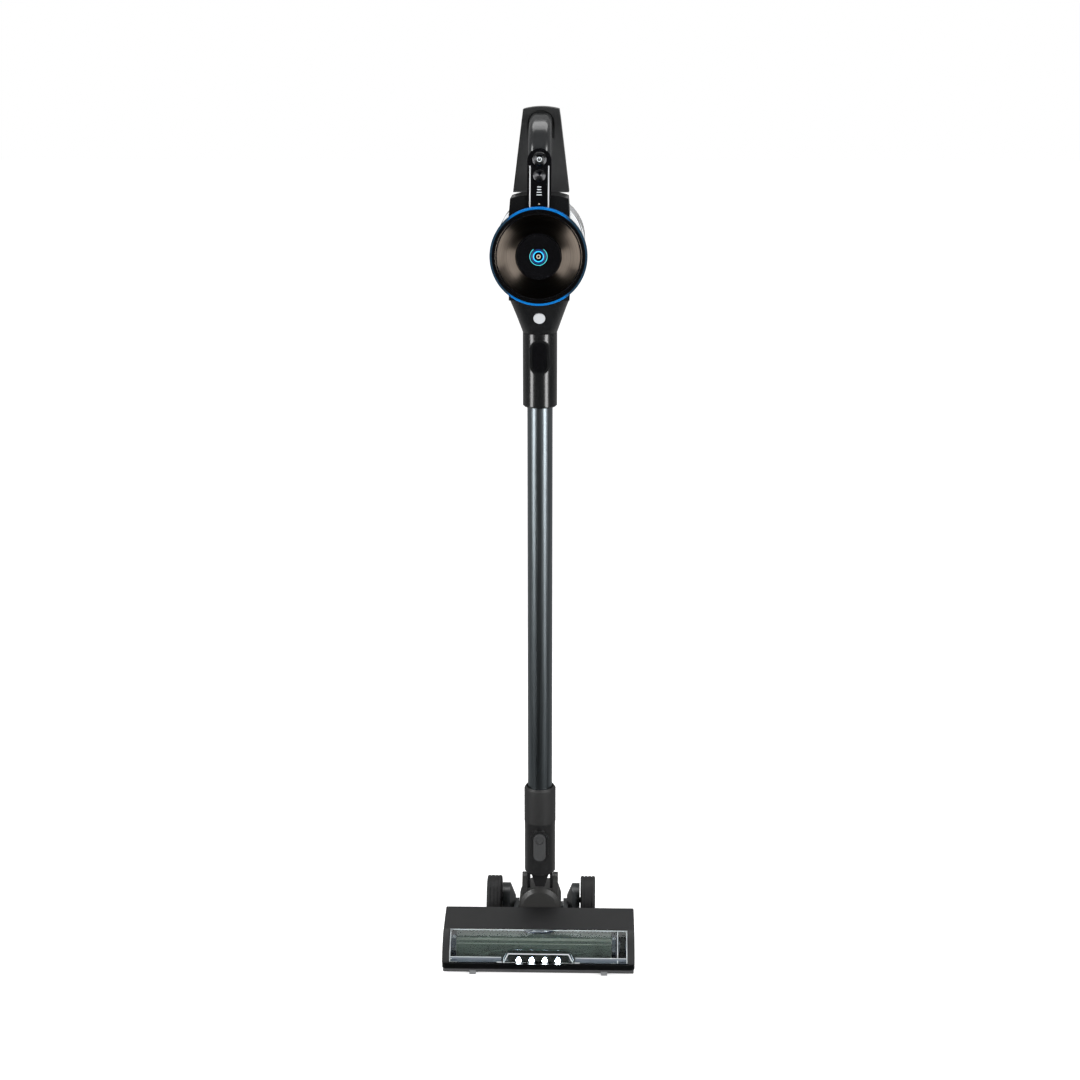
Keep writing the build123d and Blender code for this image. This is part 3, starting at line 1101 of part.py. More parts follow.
# Control panel: arched strip on the leaning front, with holes for its two buttons.
with BuildPart() as control_panel:
    with BuildSketch(panel_plane(0)) as strip:
        rise = PANEL_ABOVE_BODY / cos(PANEL_TILT)
        with Locations((0, (rise - PANEL_HALF - 18) / 2)):
            Rectangle(2 * PANEL_HALF, rise - PANEL_HALF + 18)
        with Locations((0, rise - PANEL_HALF)):
            Circle(PANEL_HALF)
    extrude(amount=PANEL_T)
    for above, r in ((POWER_ABOVE_BODY, POWER_R), (MODE_ABOVE_BODY, MODE_R)):
        with BuildSketch(panel_plane(above, 1.0)):
            Circle(r + GAP)
        extrude(amount=PANEL_T + 1, mode=Mode.SUBTRACT)
    rod_y(DRUM_FRONT - 8, 0, DRUM_R + 0.1, DISC_Z, mode=Mode.SUBTRACT)
save(control_panel, "control_panel")

for above, r, name in (
    (POWER_ABOVE_BODY, POWER_R, "power_button"), (MODE_ABOVE_BODY, MODE_R, "mode_button")
):
    with BuildPart() as key:
        with BuildSketch(panel_plane(above, 1.0 + KEY_TRAVEL + 0.1)):
            Circle(r)
        extrude(amount=PANEL_T - 1.0)
        chamfer(key.edges().filter_by(GeomType.CIRCLE).sort_by(Axis.Z)[-1], 0.4)
    save(key, name)

# ================================================================== battery
CELL_PLACES = ((-13, 0), (13, 0), (-10.4, 1), (10.4, 1), (0, 2), (0, 3))
CELL_PITCH = 19.0
CELL_FIRST = 20.0
CASE_TOP = CAP_BOTTOM - 0.4
CASE_WALL = 2.2
CASE_FRONT = DOCK_REAR + GAP
PORT_Z = BATTERY_FOOT + 8.5
KEY_HALF = 9.0
KEY_H = 10.0
KEY_TOP = CASE_TOP - 8
KEY_PROUD = 1.2
KEY_DEEP = CASE_WALL + 0.8
with BuildPart() as battery_case:
    front_slab(CASE_FRONT, CASE_REAR, taper_points(0, BATTERY_FOOT, CASE_TOP))
    fillet(battery_case.edges().group_by(Axis.Y)[-1], 5)
    front_slab(
        CASE_FRONT + 5, CASE_REAR - CASE_WALL,
        taper_points(CASE_WALL, BATTERY_FOOT + CASE_WALL, CASE_TOP - RAIL_H - CASE_WALL), Mode.SUBTRACT,
    )
    for side in (-1, 1):
        low, high = sorted((side * (RAIL_IN - GAP), side * (RAIL_OUT + GAP)))
        block(
            low, high, CASE_FRONT - 1, RAIL_REAR + GAP, CAP_BOTTOM - RAIL_H - GAP, CAP_BOTTOM, Mode.SUBTRACT
        )
    rod_y(CASE_REAR - PORT_DEPTH, CASE_REAR - CASE_WALL, PORT_BOSS_R, PORT_Z)
    rod_y(CASE_REAR - PORT_DEPTH + 1, CASE_REAR + 1, SOCKET_PORT_R, PORT_Z, mode=Mode.SUBTRACT)
    block(
        -KEY_HALF - GAP, KEY_HALF + GAP, CASE_REAR - CASE_WALL - 1, CASE_REAR + 1, KEY_TOP - KEY_H - GAP,
        KEY_TOP + GAP, Mode.SUBTRACT,
    )
save(battery_case, "battery_case")

with BuildPart() as battery_cells:
    for across, row in CELL_PLACES:
        rod_y(
            CASE_FRONT + 5, CASE_REAR - CASE_WALL - 4, CELL_R, BATTERY_FOOT + CELL_FIRST + row * CELL_PITCH,
            across,
        )
save(battery_cells, "battery_cells")

with BuildPart() as battery_board:
    block(-15, 15, CASE_FRONT + 8, CASE_FRONT + 24, BATTERY_FOOT + CASE_WALL, BATTERY_FOOT + CASE_WALL + 1.6)
save(battery_board, "battery_board")

# Battery release: one key in the back of the case.
with BuildPart() as battery_key:
    block(-KEY_HALF, KEY_HALF, CASE_REAR - KEY_DEEP, CASE_REAR + KEY_PROUD, KEY_TOP - KEY_H, KEY_TOP)
    fillet(battery_key.faces().sort_by(Axis.Y)[-1].edges(), 1)
save(battery_key, "battery_key")
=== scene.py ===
"""Looks of the cordless stick vacuum: materials, surface detail, light and camera round its frame."""

import math

import bmesh
import bpy
from mathutils import Matrix, Vector


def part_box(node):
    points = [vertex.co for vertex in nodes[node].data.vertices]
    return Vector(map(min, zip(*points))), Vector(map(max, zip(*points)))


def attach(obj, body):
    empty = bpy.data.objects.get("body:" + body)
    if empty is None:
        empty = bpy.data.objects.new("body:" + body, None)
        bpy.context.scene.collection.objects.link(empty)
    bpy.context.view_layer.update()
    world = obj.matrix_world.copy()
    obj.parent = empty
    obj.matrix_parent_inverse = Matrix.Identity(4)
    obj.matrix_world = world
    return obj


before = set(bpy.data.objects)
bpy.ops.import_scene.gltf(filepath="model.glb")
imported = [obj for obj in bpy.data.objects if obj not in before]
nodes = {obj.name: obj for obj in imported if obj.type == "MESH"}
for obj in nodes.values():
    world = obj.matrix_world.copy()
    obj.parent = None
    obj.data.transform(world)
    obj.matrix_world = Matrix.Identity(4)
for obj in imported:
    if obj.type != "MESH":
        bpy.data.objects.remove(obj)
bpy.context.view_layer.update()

MM = 0.001
scene = bpy.context.scene


# ------------------------------------------------------------------ places read from the frame
def middle(node):
    """Centre of a CAD node's box."""
    low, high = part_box(node)
    return (Vector(low) + Vector(high)) / 2


WAND = middle("wand_tube")
DISC = middle("lock_ring")
DISC_LOW, DISC_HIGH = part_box("lock_ring")
DISC_R = (DISC_HIGH[0] - DISC_LOW[0]) / 2
RIM_BLUE = 2.9 * MM  # width of the accent on the lock ring's rim


# ------------------------------------------------------------------ material helpers
def new_material(name):
    """Empty node material with a Principled shader; returns it with its nodes and links."""
    material = bpy.data.materials.new(name)
    material.use_nodes = True
    tree = material.node_tree
    shader = tree.nodes["Principled BSDF"]
    return material, tree, shader


def set_values(shader, values):
    """Set shader sockets by name."""
    for socket, value in values.items():
        shader.inputs[socket].default_value = value


def rgba(colour):
    """Colour with full alpha."""
    return (*colour, 1.0)


def noise(tree, scale, detail=4.0, stretch=None):
    """Noise texture in object space, optionally stretched along the axes."""
    place = tree.nodes.new("ShaderNodeTexCoord")
    texture = tree.nodes.new("ShaderNodeTexNoise")
    texture.inputs["Scale"].default_value = scale
    texture.inputs["Detail"].default_value = detail
    if stretch:
        mapping = tree.nodes.new("ShaderNodeMapping")
        mapping.inputs["Scale"].default_value = stretch
        tree.links.new(place.outputs["Object"], mapping.inputs["Vector"])
        tree.links.new(mapping.outputs["Vector"], texture.inputs["Vector"])
    else:
        tree.links.new(place.outputs["Object"], texture.inputs["Vector"])
    return texture


def ramp(tree, source, low, high, start=0.35, end=0.65):
    """Two-stop ramp from one colour to another."""
    node = tree.nodes.new("ShaderNodeValToRGB")
    node.color_ramp.elements[0].position = start
    node.color_ramp.elements[1].position = end
    node.color_ramp.elements[0].color = low
    node.color_ramp.elements[1].color = high
    tree.links.new(source, node.inputs["Fac"])
    return node.outputs["Color"]


def rough_between(tree, source, low, high):
    """Map a texture's value to a roughness range."""
    node = tree.nodes.new("ShaderNodeMapRange")
    node.inputs["To Min"].default_value = low
    node.inputs["To Max"].default_value = high
    tree.links.new(source, node.inputs["Value"])
    return node.outputs["Result"]


def add_bump(tree, shader, height, strength, distance):
    """Bump from a height output."""
    bump = tree.nodes.new("ShaderNodeBump")
    bump.inputs["Strength"].default_value = strength
    bump.inputs["Distance"].default_value = distance
    tree.links.new(height, bump.inputs["Height"])
    tree.links.new(bump.outputs["Normal"], shader.inputs["Normal"])


def moulded(name, colour, rough, grain=900.0, bump=0.12, spread=0.06, coat=0.0, specular=0.5):
    """Moulded plastic: fine spark-eroded grain, slight tone and roughness drift."""
    material, tree, shader = new_material(name)
    drift = noise(tree, 14.0, 3.0)
    dark = rgba([c * 0.88 for c in colour])
    light = rgba([min(1.0, c * 1.12) for c in colour])
    tree.links.new(ramp(tree, drift.outputs["Fac"], dark, light), shader.inputs["Base Color"])
    rough_drift = rough_between(tree, drift.outputs["Fac"], rough - spread, rough + spread)
    tree.links.new(rough_drift, shader.inputs["Roughness"])
    set_values(shader, {"Coat Weight": coat, "Coat Roughness": 0.06, "Specular IOR Level": specular})
    texture = noise(tree, grain, 2.0)
    add_bump(tree, shader, texture.outputs["Fac"], bump, 0.0004)
    return material


def brushed(name, colour, rough, stretch, bump=0.05, metallic=1.0):
    """Metal with fine streaks along one axis."""
    material, tree, shader = new_material(name)
    streak = noise(tree, 60.0, 6.0, stretch)
    dark = rgba([c * 0.85 for c in colour])
    light = rgba([min(1.0, c * 1.15) for c in colour])
    tree.links.new(ramp(tree, streak.outputs["Fac"], dark, light), shader.inputs["Base Color"])
    tree.links.new(
        rough_between(tree, streak.outputs["Fac"], rough - 0.06, rough + 0.06), shader.inputs["Roughness"]
    )
    set_values(shader, {"Metallic": metallic})
    add_bump(tree, shader, streak.outputs["Fac"], bump, 0.0002)
    return material


def clear(name, colour, rough=0.03, ior=1.35):
    """Transparent moulding with faint flow marks."""
    material, tree, shader = new_material(name)
    set_values(shader, {"Base Color": rgba(colour), "Transmission Weight": 1.0, "IOR": ior})
    flow = noise(tree, 30.0, 2.0)
    rough_flow = rough_between(tree, flow.outputs["Fac"], rough * 0.5, rough * 1.5)
    tree.links.new(rough_flow, shader.inputs["Roughness"])
    return material


def spun(name, colour, rough, anisotropic, centre_axis="Y"):
    """Metal turned in a lathe: rings too fine to see, that fan the light out."""
    material, tree, shader = new_material(name)
    set_values(
        shader,
        {"Metallic": 1.0, "Roughness": rough, "Anisotropic": anisotropic, "Anisotropic Rotation": 0.25},
    )
    place = tree.nodes.new("ShaderNodeTexCoord")
    radius = tree.nodes.new("ShaderNodeVectorMath")
    radius.operation = "LENGTH"
    flat = tree.nodes.new("ShaderNodeMapping")
    flat.inputs["Scale"].default_value = (1, 0, 1)
    tree.links.new(place.outputs["Object"], flat.inputs["Vector"])
    tree.links.new(flat.outputs["Vector"], radius.inputs[0])
    rings = tree.nodes.new("ShaderNodeTexNoise")
    rings.noise_dimensions = "1D"
    rings.inputs["Scale"].default_value = 1400.0
    rings.inputs["Detail"].default_value = 3.0
    tree.links.new(radius.outputs["Value"], rings.inputs["W"])
    dark = rgba([c * 0.8 for c in colour])
    light = rgba([min(1.0, c * 1.2) for c in colour])
    tree.links.new(ramp(tree, rings.outputs["Fac"], dark, light, 0.3, 0.7), shader.inputs["Base Color"])
    tangent = tree.nodes.new("ShaderNodeTangent")
    tangent.direction_type = "RADIAL"
    tangent.axis = centre_axis
    tree.links.new(tangent.outputs["Tangent"], shader.inputs["Tangent"])
    add_bump(tree, shader, rings.outputs["Fac"], 0.08, 0.00005)
    return material


def accent_ring(name):
    """Anodised ring: bright blue at its top and bottom, with painted shade that dulls its ribbed sides to
    grey-blue, black on its inner step.
    """
    material, tree, shader = new_material(name)
    place = tree.nodes.new("ShaderNodeTexCoord")
    about = tree.nodes.new("ShaderNodeMapping")
    about.inputs["Location"].default_value = (-DISC.x, 0, -DISC.z)
    about.inputs["Scale"].default_value = (1, 0, 1)
    tree.links.new(place.outputs["Object"], about.inputs["Vector"])
    radius = tree.nodes.new("ShaderNodeVectorMath")
    radius.operation = "LENGTH"
    tree.links.new(about.outputs["Vector"], radius.inputs[0])
    split = tree.nodes.new("ShaderNodeSeparateXYZ")
    tree.links.new(about.outputs["Vector"], split.inputs["Vector"])
    across = tree.nodes.new("ShaderNodeMath")
    across.operation = "ABSOLUTE"
    tree.links.new(split.outputs["X"], across.inputs[0])
    # painted shade: the blue turns dull grey-blue towards the ring's left and right sides
    side = tree.nodes.new("ShaderNodeMapRange")
    side.interpolation_type = "SMOOTHSTEP"
    side.inputs["From Min"].default_value = 0.50 * DISC_R
    side.inputs["From Max"].default_value = 0.66 * DISC_R
    tree.links.new(across.outputs["Value"], side.inputs["Value"])
    rim = tree.nodes.new("ShaderNodeMapRange")
    rim.inputs["From Min"].default_value = DISC_R - RIM_BLUE
    rim.inputs["From Max"].default_value = DISC_R - RIM_BLUE + 0.3 * MM
    tree.links.new(radius.outputs["Value"], rim.inputs["Value"])
    ring_hue_painted_shade = tree.nodes.new("ShaderNodeMix")
    ring_hue_painted_shade.data_type = "RGBA"
    ring_hue_painted_shade.inputs["A"].default_value = (0.002, 0.25, 0.80, 1)
    ring_hue_painted_shade.inputs["B"].default_value = (0.025, 0.065, 0.11, 1)
    tree.links.new(side.outputs["Result"], ring_hue_painted_shade.inputs["Factor"])
    colour = tree.nodes.new("ShaderNodeMix")
    colour.data_type = "RGBA"
    colour.inputs["A"].default_value = (0.003, 0.003, 0.004, 1)
    tree.links.new(rim.outputs["Result"], colour.inputs["Factor"])
    tree.links.new(ring_hue_painted_shade.outputs["Result"], colour.inputs["B"])
    tree.links.new(colour.outputs["Result"], shader.inputs["Base Color"])
    set_values(shader, {"Metallic": 0.6, "Coat Weight": 0.4, "Coat Roughness": 0.1})
    grain = noise(tree, 900.0, 3.0)
    tree.links.new(rough_between(tree, grain.outputs["Fac"], 0.22, 0.36), shader.inputs["Roughness"])
    add_bump(tree, shader, grain.outputs["Fac"], 0.06, 0.0002)
    return material


def glowing(name, colour, strength):
    """Lit surface, with a slight unevenness over its face."""
    material, tree, shader = new_material(name)
    set_values(shader, {"Base Color": rgba(colour), "Roughness": 0.4, "Emission Strength": strength})
    cloud = noise(tree, 400.0, 1.0)
    dark = rgba([c * 0.85 for c in colour])
    tree.links.new(ramp(tree, cloud.outputs["Fac"], dark, rgba(colour)), shader.inputs["Emission Color"])
    return material


def pile(name, colour):
    """Short soft pile of the roller."""
    material, tree, shader = new_material(name)
    fibre = noise(tree, 900.0, 3.0, (0.35, 1, 1))
    dark = rgba([c * 0.62 for c in colour])
    tone = ramp(tree, fibre.outputs["Fac"], dark, rgba(colour), 0.3, 0.7)
    tree.links.new(tone, shader.inputs["Base Color"])
    set_values(shader, {"Roughness": 0.85, "Sheen Weight": 0.6, "Sheen Roughness": 0.4})
    add_bump(tree, shader, fibre.outputs["Fac"], 0.8, 0.0012)
    return material


def woven(name, colour, scale):
    """Filter cloth or foam."""
    material, tree, shader = new_material(name)
    cells = tree.nodes.new("ShaderNodeTexVoronoi")
    cells.inputs["Scale"].default_value = scale
    place = tree.nodes.new("ShaderNodeTexCoord")
    tree.links.new(place.outputs["Object"], cells.inputs["Vector"])
    dark = rgba([c * 0.6 for c in colour])
    tone = ramp(tree, cells.outputs["Distance"], dark, rgba(colour), 0.1, 0.6)
    tree.links.new(tone, shader.inputs["Base Color"])
    set_values(shader, {"Roughness": 0.9})
    add_bump(tree, shader, cells.outputs["Distance"], 0.6, 0.0006)
    return material


# ------------------------------------------------------------------ materials
body_black = moulded("satin_black", (0.006, 0.0063, 0.0066), 0.25, 260, 0.003, 0.02, 0.3)
neck_satin = moulded("neck_satin", (0.011, 0.0112, 0.0116), 0.33, 260, 0.004, 0.02, 0.15)
button_grey = moulded("button_grey", (0.040, 0.041, 0.042), 0.42, 400, 0.01, 0.03)
gloss_black = moulded("gloss_black", (0.003, 0.003, 0.0035), 0.12, 300, 0.004, 0.03, 0.6)
collar_black = moulded("collar_grain", (0.016, 0.016, 0.0162), 0.52, 1500, 0.08, 0.05)
# painted sheen: the battery dock and case get a lighter black than the body, standing in for the soft
# light their backs reflect
back_painted_sheen = moulded("back_satin_painted_sheen", (0.024, 0.0245, 0.025), 0.34, 1400, 0.06, 0.04, 0.2)
hood_black = moulded("hood_satin", (0.030, 0.030, 0.029), 0.38, 1400, 0.08, 0.04, 0.1)
inner_black = moulded("inner_black", (0.012, 0.012, 0.013), 0.55, 900, 0.1)
head_grey = moulded("head_grain", (0.0125, 0.0128, 0.0135), 0.5, 1600, 0.1, 0.05)
sole_grey = moulded("sole_grain", (0.055, 0.056, 0.058), 0.6, 1200, 0.2)
bumper_black = moulded("bumper_rubber", (0.0018, 0.002, 0.0023), 0.32, 1200, 0.04)
grip_grey = moulded("grip_satin", (0.024, 0.025, 0.026), 0.24, 1800, 0.01, 0.02, 0.2)
wheel_pale = moulded("wheel_pale", (0.16, 0.165, 0.17), 0.5, 700, 0.03)
hub_grey = moulded("hub_satin", (0.040, 0.044, 0.046), 0.32, 900, 0.05, 0.05)
tyre_black = moulded("tyre_rubber", (0.020, 0.020, 0.021), 0.62, 1000, 0.25)
duct_navy = moulded("duct_navy", (0.012, 0.018, 0.045), 0.25, 700, 0.05, 0.05, 0.5)
core_navy = moulded("core_navy", (0.014, 0.018, 0.032), 0.25, 700, 0.05, 0.05, 0.5)
comb_pale = moulded("comb_pale", (0.42, 0.45, 0.46), 0.3, 700, 0.05, 0.05)
belt_rubber = moulded("belt_rubber", (0.012, 0.012, 0.012), 0.7, 1500, 0.3)
badge_pale = moulded("badge_pale", (0.33, 0.34, 0.35), 0.35, 900, 0.04, 0.05)
cell_green = moulded("cell_sleeve", (0.05, 0.20, 0.14), 0.4, 500, 0.04)
board_green = moulded("board_mask", (0.01, 0.10, 0.05), 0.35, 500, 0.05)
tube_metal = brushed("tube_anodised", (0.215, 0.245, 0.262), 0.33, (9, 9, 0.15), 0.03)
motor_metal = brushed("motor_metal", (0.42, 0.43, 0.44), 0.35, (0.2, 6, 6), 0.05)
pin_steel = brushed("pin_steel", (0.45, 0.45, 0.46), 0.28, (0.3, 6, 6), 0.05)
screen_steel = brushed("screen_steel", (0.36, 0.36, 0.37), 0.3, (1, 1, 1), 0.3)
trim_dark = brushed("trim_dark", (0.10, 0.10, 0.105), 0.25, (1, 1, 1), 0.02)
trim_silver = moulded("trim_silver", (0.50, 0.51, 0.52), 0.25, 300, 0.0, 0.03, 0.5)
ring_blue = accent_ring("ring_blue")
disc_bronze = spun("disc_bronze", (0.125, 0.104, 0.086), 0.42, 1.0)
key_spun = spun("key_spun", (0.12, 0.12, 0.125), 0.42, 1.0)
window_clear = clear("window_clear", (0.90, 0.96, 0.95), 0.02, 1.25)
lens_clear = clear("lens_clear", (0.80, 0.88, 1.0), 0.10, 1.3)
cup_clear = clear("cup_clear", (0.93, 0.94, 0.95), 0.02, 1.30)
pile_green = pile("roller_pile", (0.036, 0.048, 0.040))
# painted highlight and painted shade: lighter and darker copies of the roller's pile
pile_painted_highlight = pile("pile_painted_highlight", (0.15, 0.165, 0.14))
pile_painted_shade = pile("pile_painted_shade", (0.03, 0.042, 0.036))
# painted highlight: pale opaque plastic standing in for the light caught by the edges of clear mouldings
edge_painted_highlight = moulded("edge_painted_highlight", (0.52, 0.56, 0.58), 0.16, 300, 0.02, 0.05, 0.6)
sill_blue = moulded("sill_blue", (0.13, 0.15, 0.18), 0.2, 300, 0.02, 0.05, 0.6)
lug_clear = clear("lug_clear", (0.92, 0.94, 0.96), 0.03, 1.45)
filter_white = woven("filter_paper", (0.80, 0.80, 0.78), 900)
foam_grey = woven("filter_foam", (0.20, 0.20, 0.21), 700)
lamp_white = glowing("lamp_white", (0.86, 0.93, 1.0), 60.0)
glow_cyan = glowing("glow_cyan", (0.01, 0.34, 0.80), 1.5)
glow_teal = glowing("glow_teal", (0.03, 0.36, 0.40), 1.1)
glow_bars = glowing("glow_bars", (0.62, 0.66, 0.68), 0.42)
glow_halo = glowing("glow_halo", (0.0, 0.012, 0.06), 1.0)
icon_beige = moulded("icon_beige", (0.42, 0.38, 0.30), 0.5, 600, 0.02)

LOOKS = (
    (sole_grey, ("sole_plate",)),
    (bumper_black, ("bumper",)),
    (head_grey, ("top_cover", "end_cap_left", "end_cap_right")),
    (window_clear, ("front_window", "bearing_plate")),
    (
        inner_black,
        (
            "chamber_wall", "hinge_pins", "power_conduit", "nozzle", "display_post", "cyclone_cone",
            "lid_latch",
        ),
    ),
    (comb_pale, ("comb",)),
    (duct_navy, ("air_duct",)),
    (motor_metal, ("brush_motor", "fan_motor", "fan")),
    (belt_rubber, ("drive_belt",)),
    (board_green, ("lamp_board", "battery_board")),
    (lamp_white, ("headlamps",)),
    (lens_clear, ("lamp_lens",)),
    (hub_grey, ("wheel_carriage", "rear_wheel_hub_left", "rear_wheel_hub_right")),
    (core_navy, ("roller_core", "roller_pulley")),
    (pile_green, ("roller_pile",)),
    (pin_steel, ("motor_pinion",)),
    (wheel_pale, ("front_wheel_left", "front_wheel_right")),
    (tyre_black, ("rear_tyre_left", "rear_tyre_right")),
    (hood_black, ("swivel_yoke",)),
    (neck_satin, ("neck_tube",)),
    (button_grey, ("neck_button",)),
    (collar_black, ("lower_collar",)),
    (tube_metal, ("wand_tube",)),
    (body_black, ("upper_socket", "main_body")),
    (
        gloss_black,
        (
            "wand_button", "display_glass", "control_panel", "power_button", "mode_button",
            "filter_cover", "battery_key",
        ),
    ),
    (badge_pale, ("badge",)),
    (screen_steel, ("mesh_screen",)),
    (grip_grey, ("grip",)),
    (back_painted_sheen, ("battery_dock", "battery_case")),
    (filter_white, ("pleated_filter",)),
    (foam_grey, ("foam_filter",)),
    (ring_blue, ("lock_ring",)),
    (cup_clear, ("dust_cup", "cup_lid")),
    (cell_green, ("battery_cells",)),
)
for material, named in LOOKS:
    for name in named:
        mesh = nodes[name].data
        mesh.materials.clear()
        mesh.materials.append(material)


# ------------------------------------------------------------------ mesh helpers
def piece(name, body, build, material, origin=(0, 0, 0), turn=None, bevel=0.0, smooth=True):
    """New mesh object built round its own origin, riding on a CAD body."""
    shape = bmesh.new()
    build(shape)
    bmesh.ops.recalc_face_normals(shape, faces=shape.faces)
    mesh = bpy.data.meshes.new(name)
    shape.to_mesh(mesh)
    shape.free()
    for face in mesh.polygons:
        face.use_smooth = smooth
    obj = bpy.data.objects.new(name, mesh)
    scene.collection.objects.link(obj)
    obj.matrix_world = Matrix.Translation(Vector(origin)) @ (turn or Matrix.Identity(4))
    mesh.materials.append(material)
    if bevel:
        modifier = obj.modifiers.new("bevel", "BEVEL")
        modifier.width = bevel
        modifier.segments = 2
        modifier.limit_method = "ANGLE"
    bpy.context.view_layer.update()
    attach(obj, body)
    return obj


def ring_of(shape, outline, steps, start=0.0, sweep=2 * math.pi):
    """Turn a closed outline of (radius, depth) points about the local Y axis."""
    closed = abs(sweep - 2 * math.pi) < 1e-6
    count = steps if closed else steps + 1
    rows = []
    for i in range(count):
        angle = start + sweep * i / steps
        rows.append(
            [shape.verts.new((r * math.sin(angle), y, r * math.cos(angle))) for r, y in outline]
        )
    last = count if closed else count - 1
    for i in range(last):
        here, there = rows[i], rows[(i + 1) % count]
        for j in range(len(outline)):
            k = (j + 1) % len(outline)
            shape.faces.new((here[j], here[k], there[k], there[j]))
    if not closed:
        shape.faces.new(rows[0])
        shape.faces.new(list(reversed(rows[-1])))


def bar(shape, size, at=(0, 0, 0)):
    """Box of a given size about a local point."""
    made = bmesh.ops.create_cube(shape, size=1.0)
    bmesh.ops.scale(shape, vec=Vector(size), verts=made["verts"])
    bmesh.ops.translate(shape, vec=Vector(at), verts=made["verts"])


def straight(width, height, deep):
    """Box round its own middle, sized across, up and deep."""

    def build(shape):
        bar(shape, (width, deep, height))

    return build


# ------------------------------------------------------------------ front disc
FACE_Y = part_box("filter_cover")[0][1]
GLASS_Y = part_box("display_glass")[0][1]
DISPLAY_R = (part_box("display_glass")[1][0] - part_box("display_glass")[0][0]) / 2
COVER_R = (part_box("filter_cover")[1][0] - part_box("filter_cover")[0][0]) / 2
RIM_W = 0.4 * MM
DISH = 4.0 * MM
SKIN = 0.35 * MM
disc_at = (DISC.x, 0, DISC.z)


def spun_face(shape):
    """Thin dished ring that lies on the filter cover."""
    inner, outer = DISPLAY_R + 1.3 * MM, COVER_R - RIM_W - 0.3 * MM
    ring_of(
        shape,
        [
            (outer, FACE_Y - 0.1 * MM), (inner, FACE_Y + DISH - SKIN), (inner, FACE_Y + DISH),
            (outer, FACE_Y + SKIN),
        ],
        128,
    )


piece("spun_face", "filter_unit", spun_face, disc_bronze, disc_at)


def glow_ring(radius, width, start=0.0, sweep=2 * math.pi):
    """Flat ring or arc on the display."""

    def build(shape):
        outline = [
            (radius - width / 2, GLASS_Y - 0.12 * MM), (radius + width / 2, GLASS_Y - 0.12 * MM),
            (radius + width / 2, GLASS_Y + 0.2 * MM), (radius - width / 2, GLASS_Y + 0.2 * MM),
        ]
        ring_of(shape, outline, 64, start, sweep)

    return build


RING_R = 6.2 * MM
ARC_R = 10.7 * MM
ARC_GAP = math.radians(35)
piece("display_ring", "handheld", glow_ring(RING_R, 1.1 * MM), glow_cyan, disc_at)
open_arc = glow_ring(ARC_R, 0.7 * MM, ARC_GAP, 2 * math.pi - 2 * ARC_GAP)
piece("display_arc", "handheld", open_arc, glow_teal, disc_at)
piece("display_icon", "handheld", glow_ring(2.1 * MM, 1.2 * MM), icon_beige, disc_at)
piece("display_halo", "handheld", glow_ring(8.2 * MM, 2.2 * MM), glow_halo, disc_at)


# ------------------------------------------------------------------ control panel
LEAN_RUN = 0.25  # the panel leans back this much for each unit up
LEAN = math.atan(LEAN_RUN)
PANEL_FOOT = Vector((0, WAND.y - 36 * MM, 1036 * MM))
PANEL_T = 3.0 * MM


def panel_place(above, proud):
    """Point on the leaning panel, at a height above the body's top and a distance off its back."""
    run = Vector((0, LEAN_RUN, 1)) * above
    out = Vector((0, -math.cos(LEAN), math.sin(LEAN)))
    return PANEL_FOOT + run + out * proud


panel_turn = Matrix.Rotation(-LEAN, 4, "X")


TRIM_X = 11.6 * MM
TRIM_TOP = 36 * MM
TRIM_FOOT = -17 * MM
for side in (-1, 1):
    at = panel_place((TRIM_TOP + TRIM_FOOT) / 2, PANEL_T) + Vector((side * TRIM_X, 0, 0))
    piece(
        "panel_trim", "handheld", straight(1.7 * MM, TRIM_TOP - TRIM_FOOT, 0.9 * MM), trim_silver, at,
        panel_turn, bevel=0.4 * MM,
    )

BAR_WIDTHS = (5.0, 5.2, 5.8, 6.4)
TOP_BAR_UP = 9.6 * MM
BAR_PITCH = 3.2 * MM
for i, width in enumerate(BAR_WIDTHS):
    at = panel_place(TOP_BAR_UP - BAR_PITCH * i, PANEL_T)
    piece("charge_bar", "handheld", straight(width * MM, 0.9 * MM, 0.25 * MM), glow_bars, at, panel_turn)
at = panel_place(-11 * MM, PANEL_T)
piece("charge_mark", "handheld", straight(2.0 * MM, 1.6 * MM, 0.25 * MM), icon_beige, at, panel_turn)


def key_face(radius, deep=0.3 * MM):
    """Shallow turned disc for the top of a key."""

    def build(shape):
        ring_of(
            shape,
            [
                (0.4 * MM, -deep), (radius - 0.9 * MM, -deep), (radius - 0.5 * MM, 0.2 * MM),
                (0.4 * MM, 0.2 * MM),
            ],
            72,
        )
        bmesh.ops.create_cone(
            shape, cap_ends=True, segments=24, radius1=0.5 * MM, radius2=0.5 * MM, depth=0.4 * MM,
            matrix=Matrix.Rotation(math.pi / 2, 4, "X"),
        )

    return build


def key_ring(radius, width, deep):
    """Flat ring on a key."""

    def build(shape):
        ring_of(
            shape,
            [
                (radius - width / 2, -deep), (radius + width / 2, -deep), (radius + width / 2, 0),
                (radius - width / 2, 0),
            ],
            48,
        )

    return build


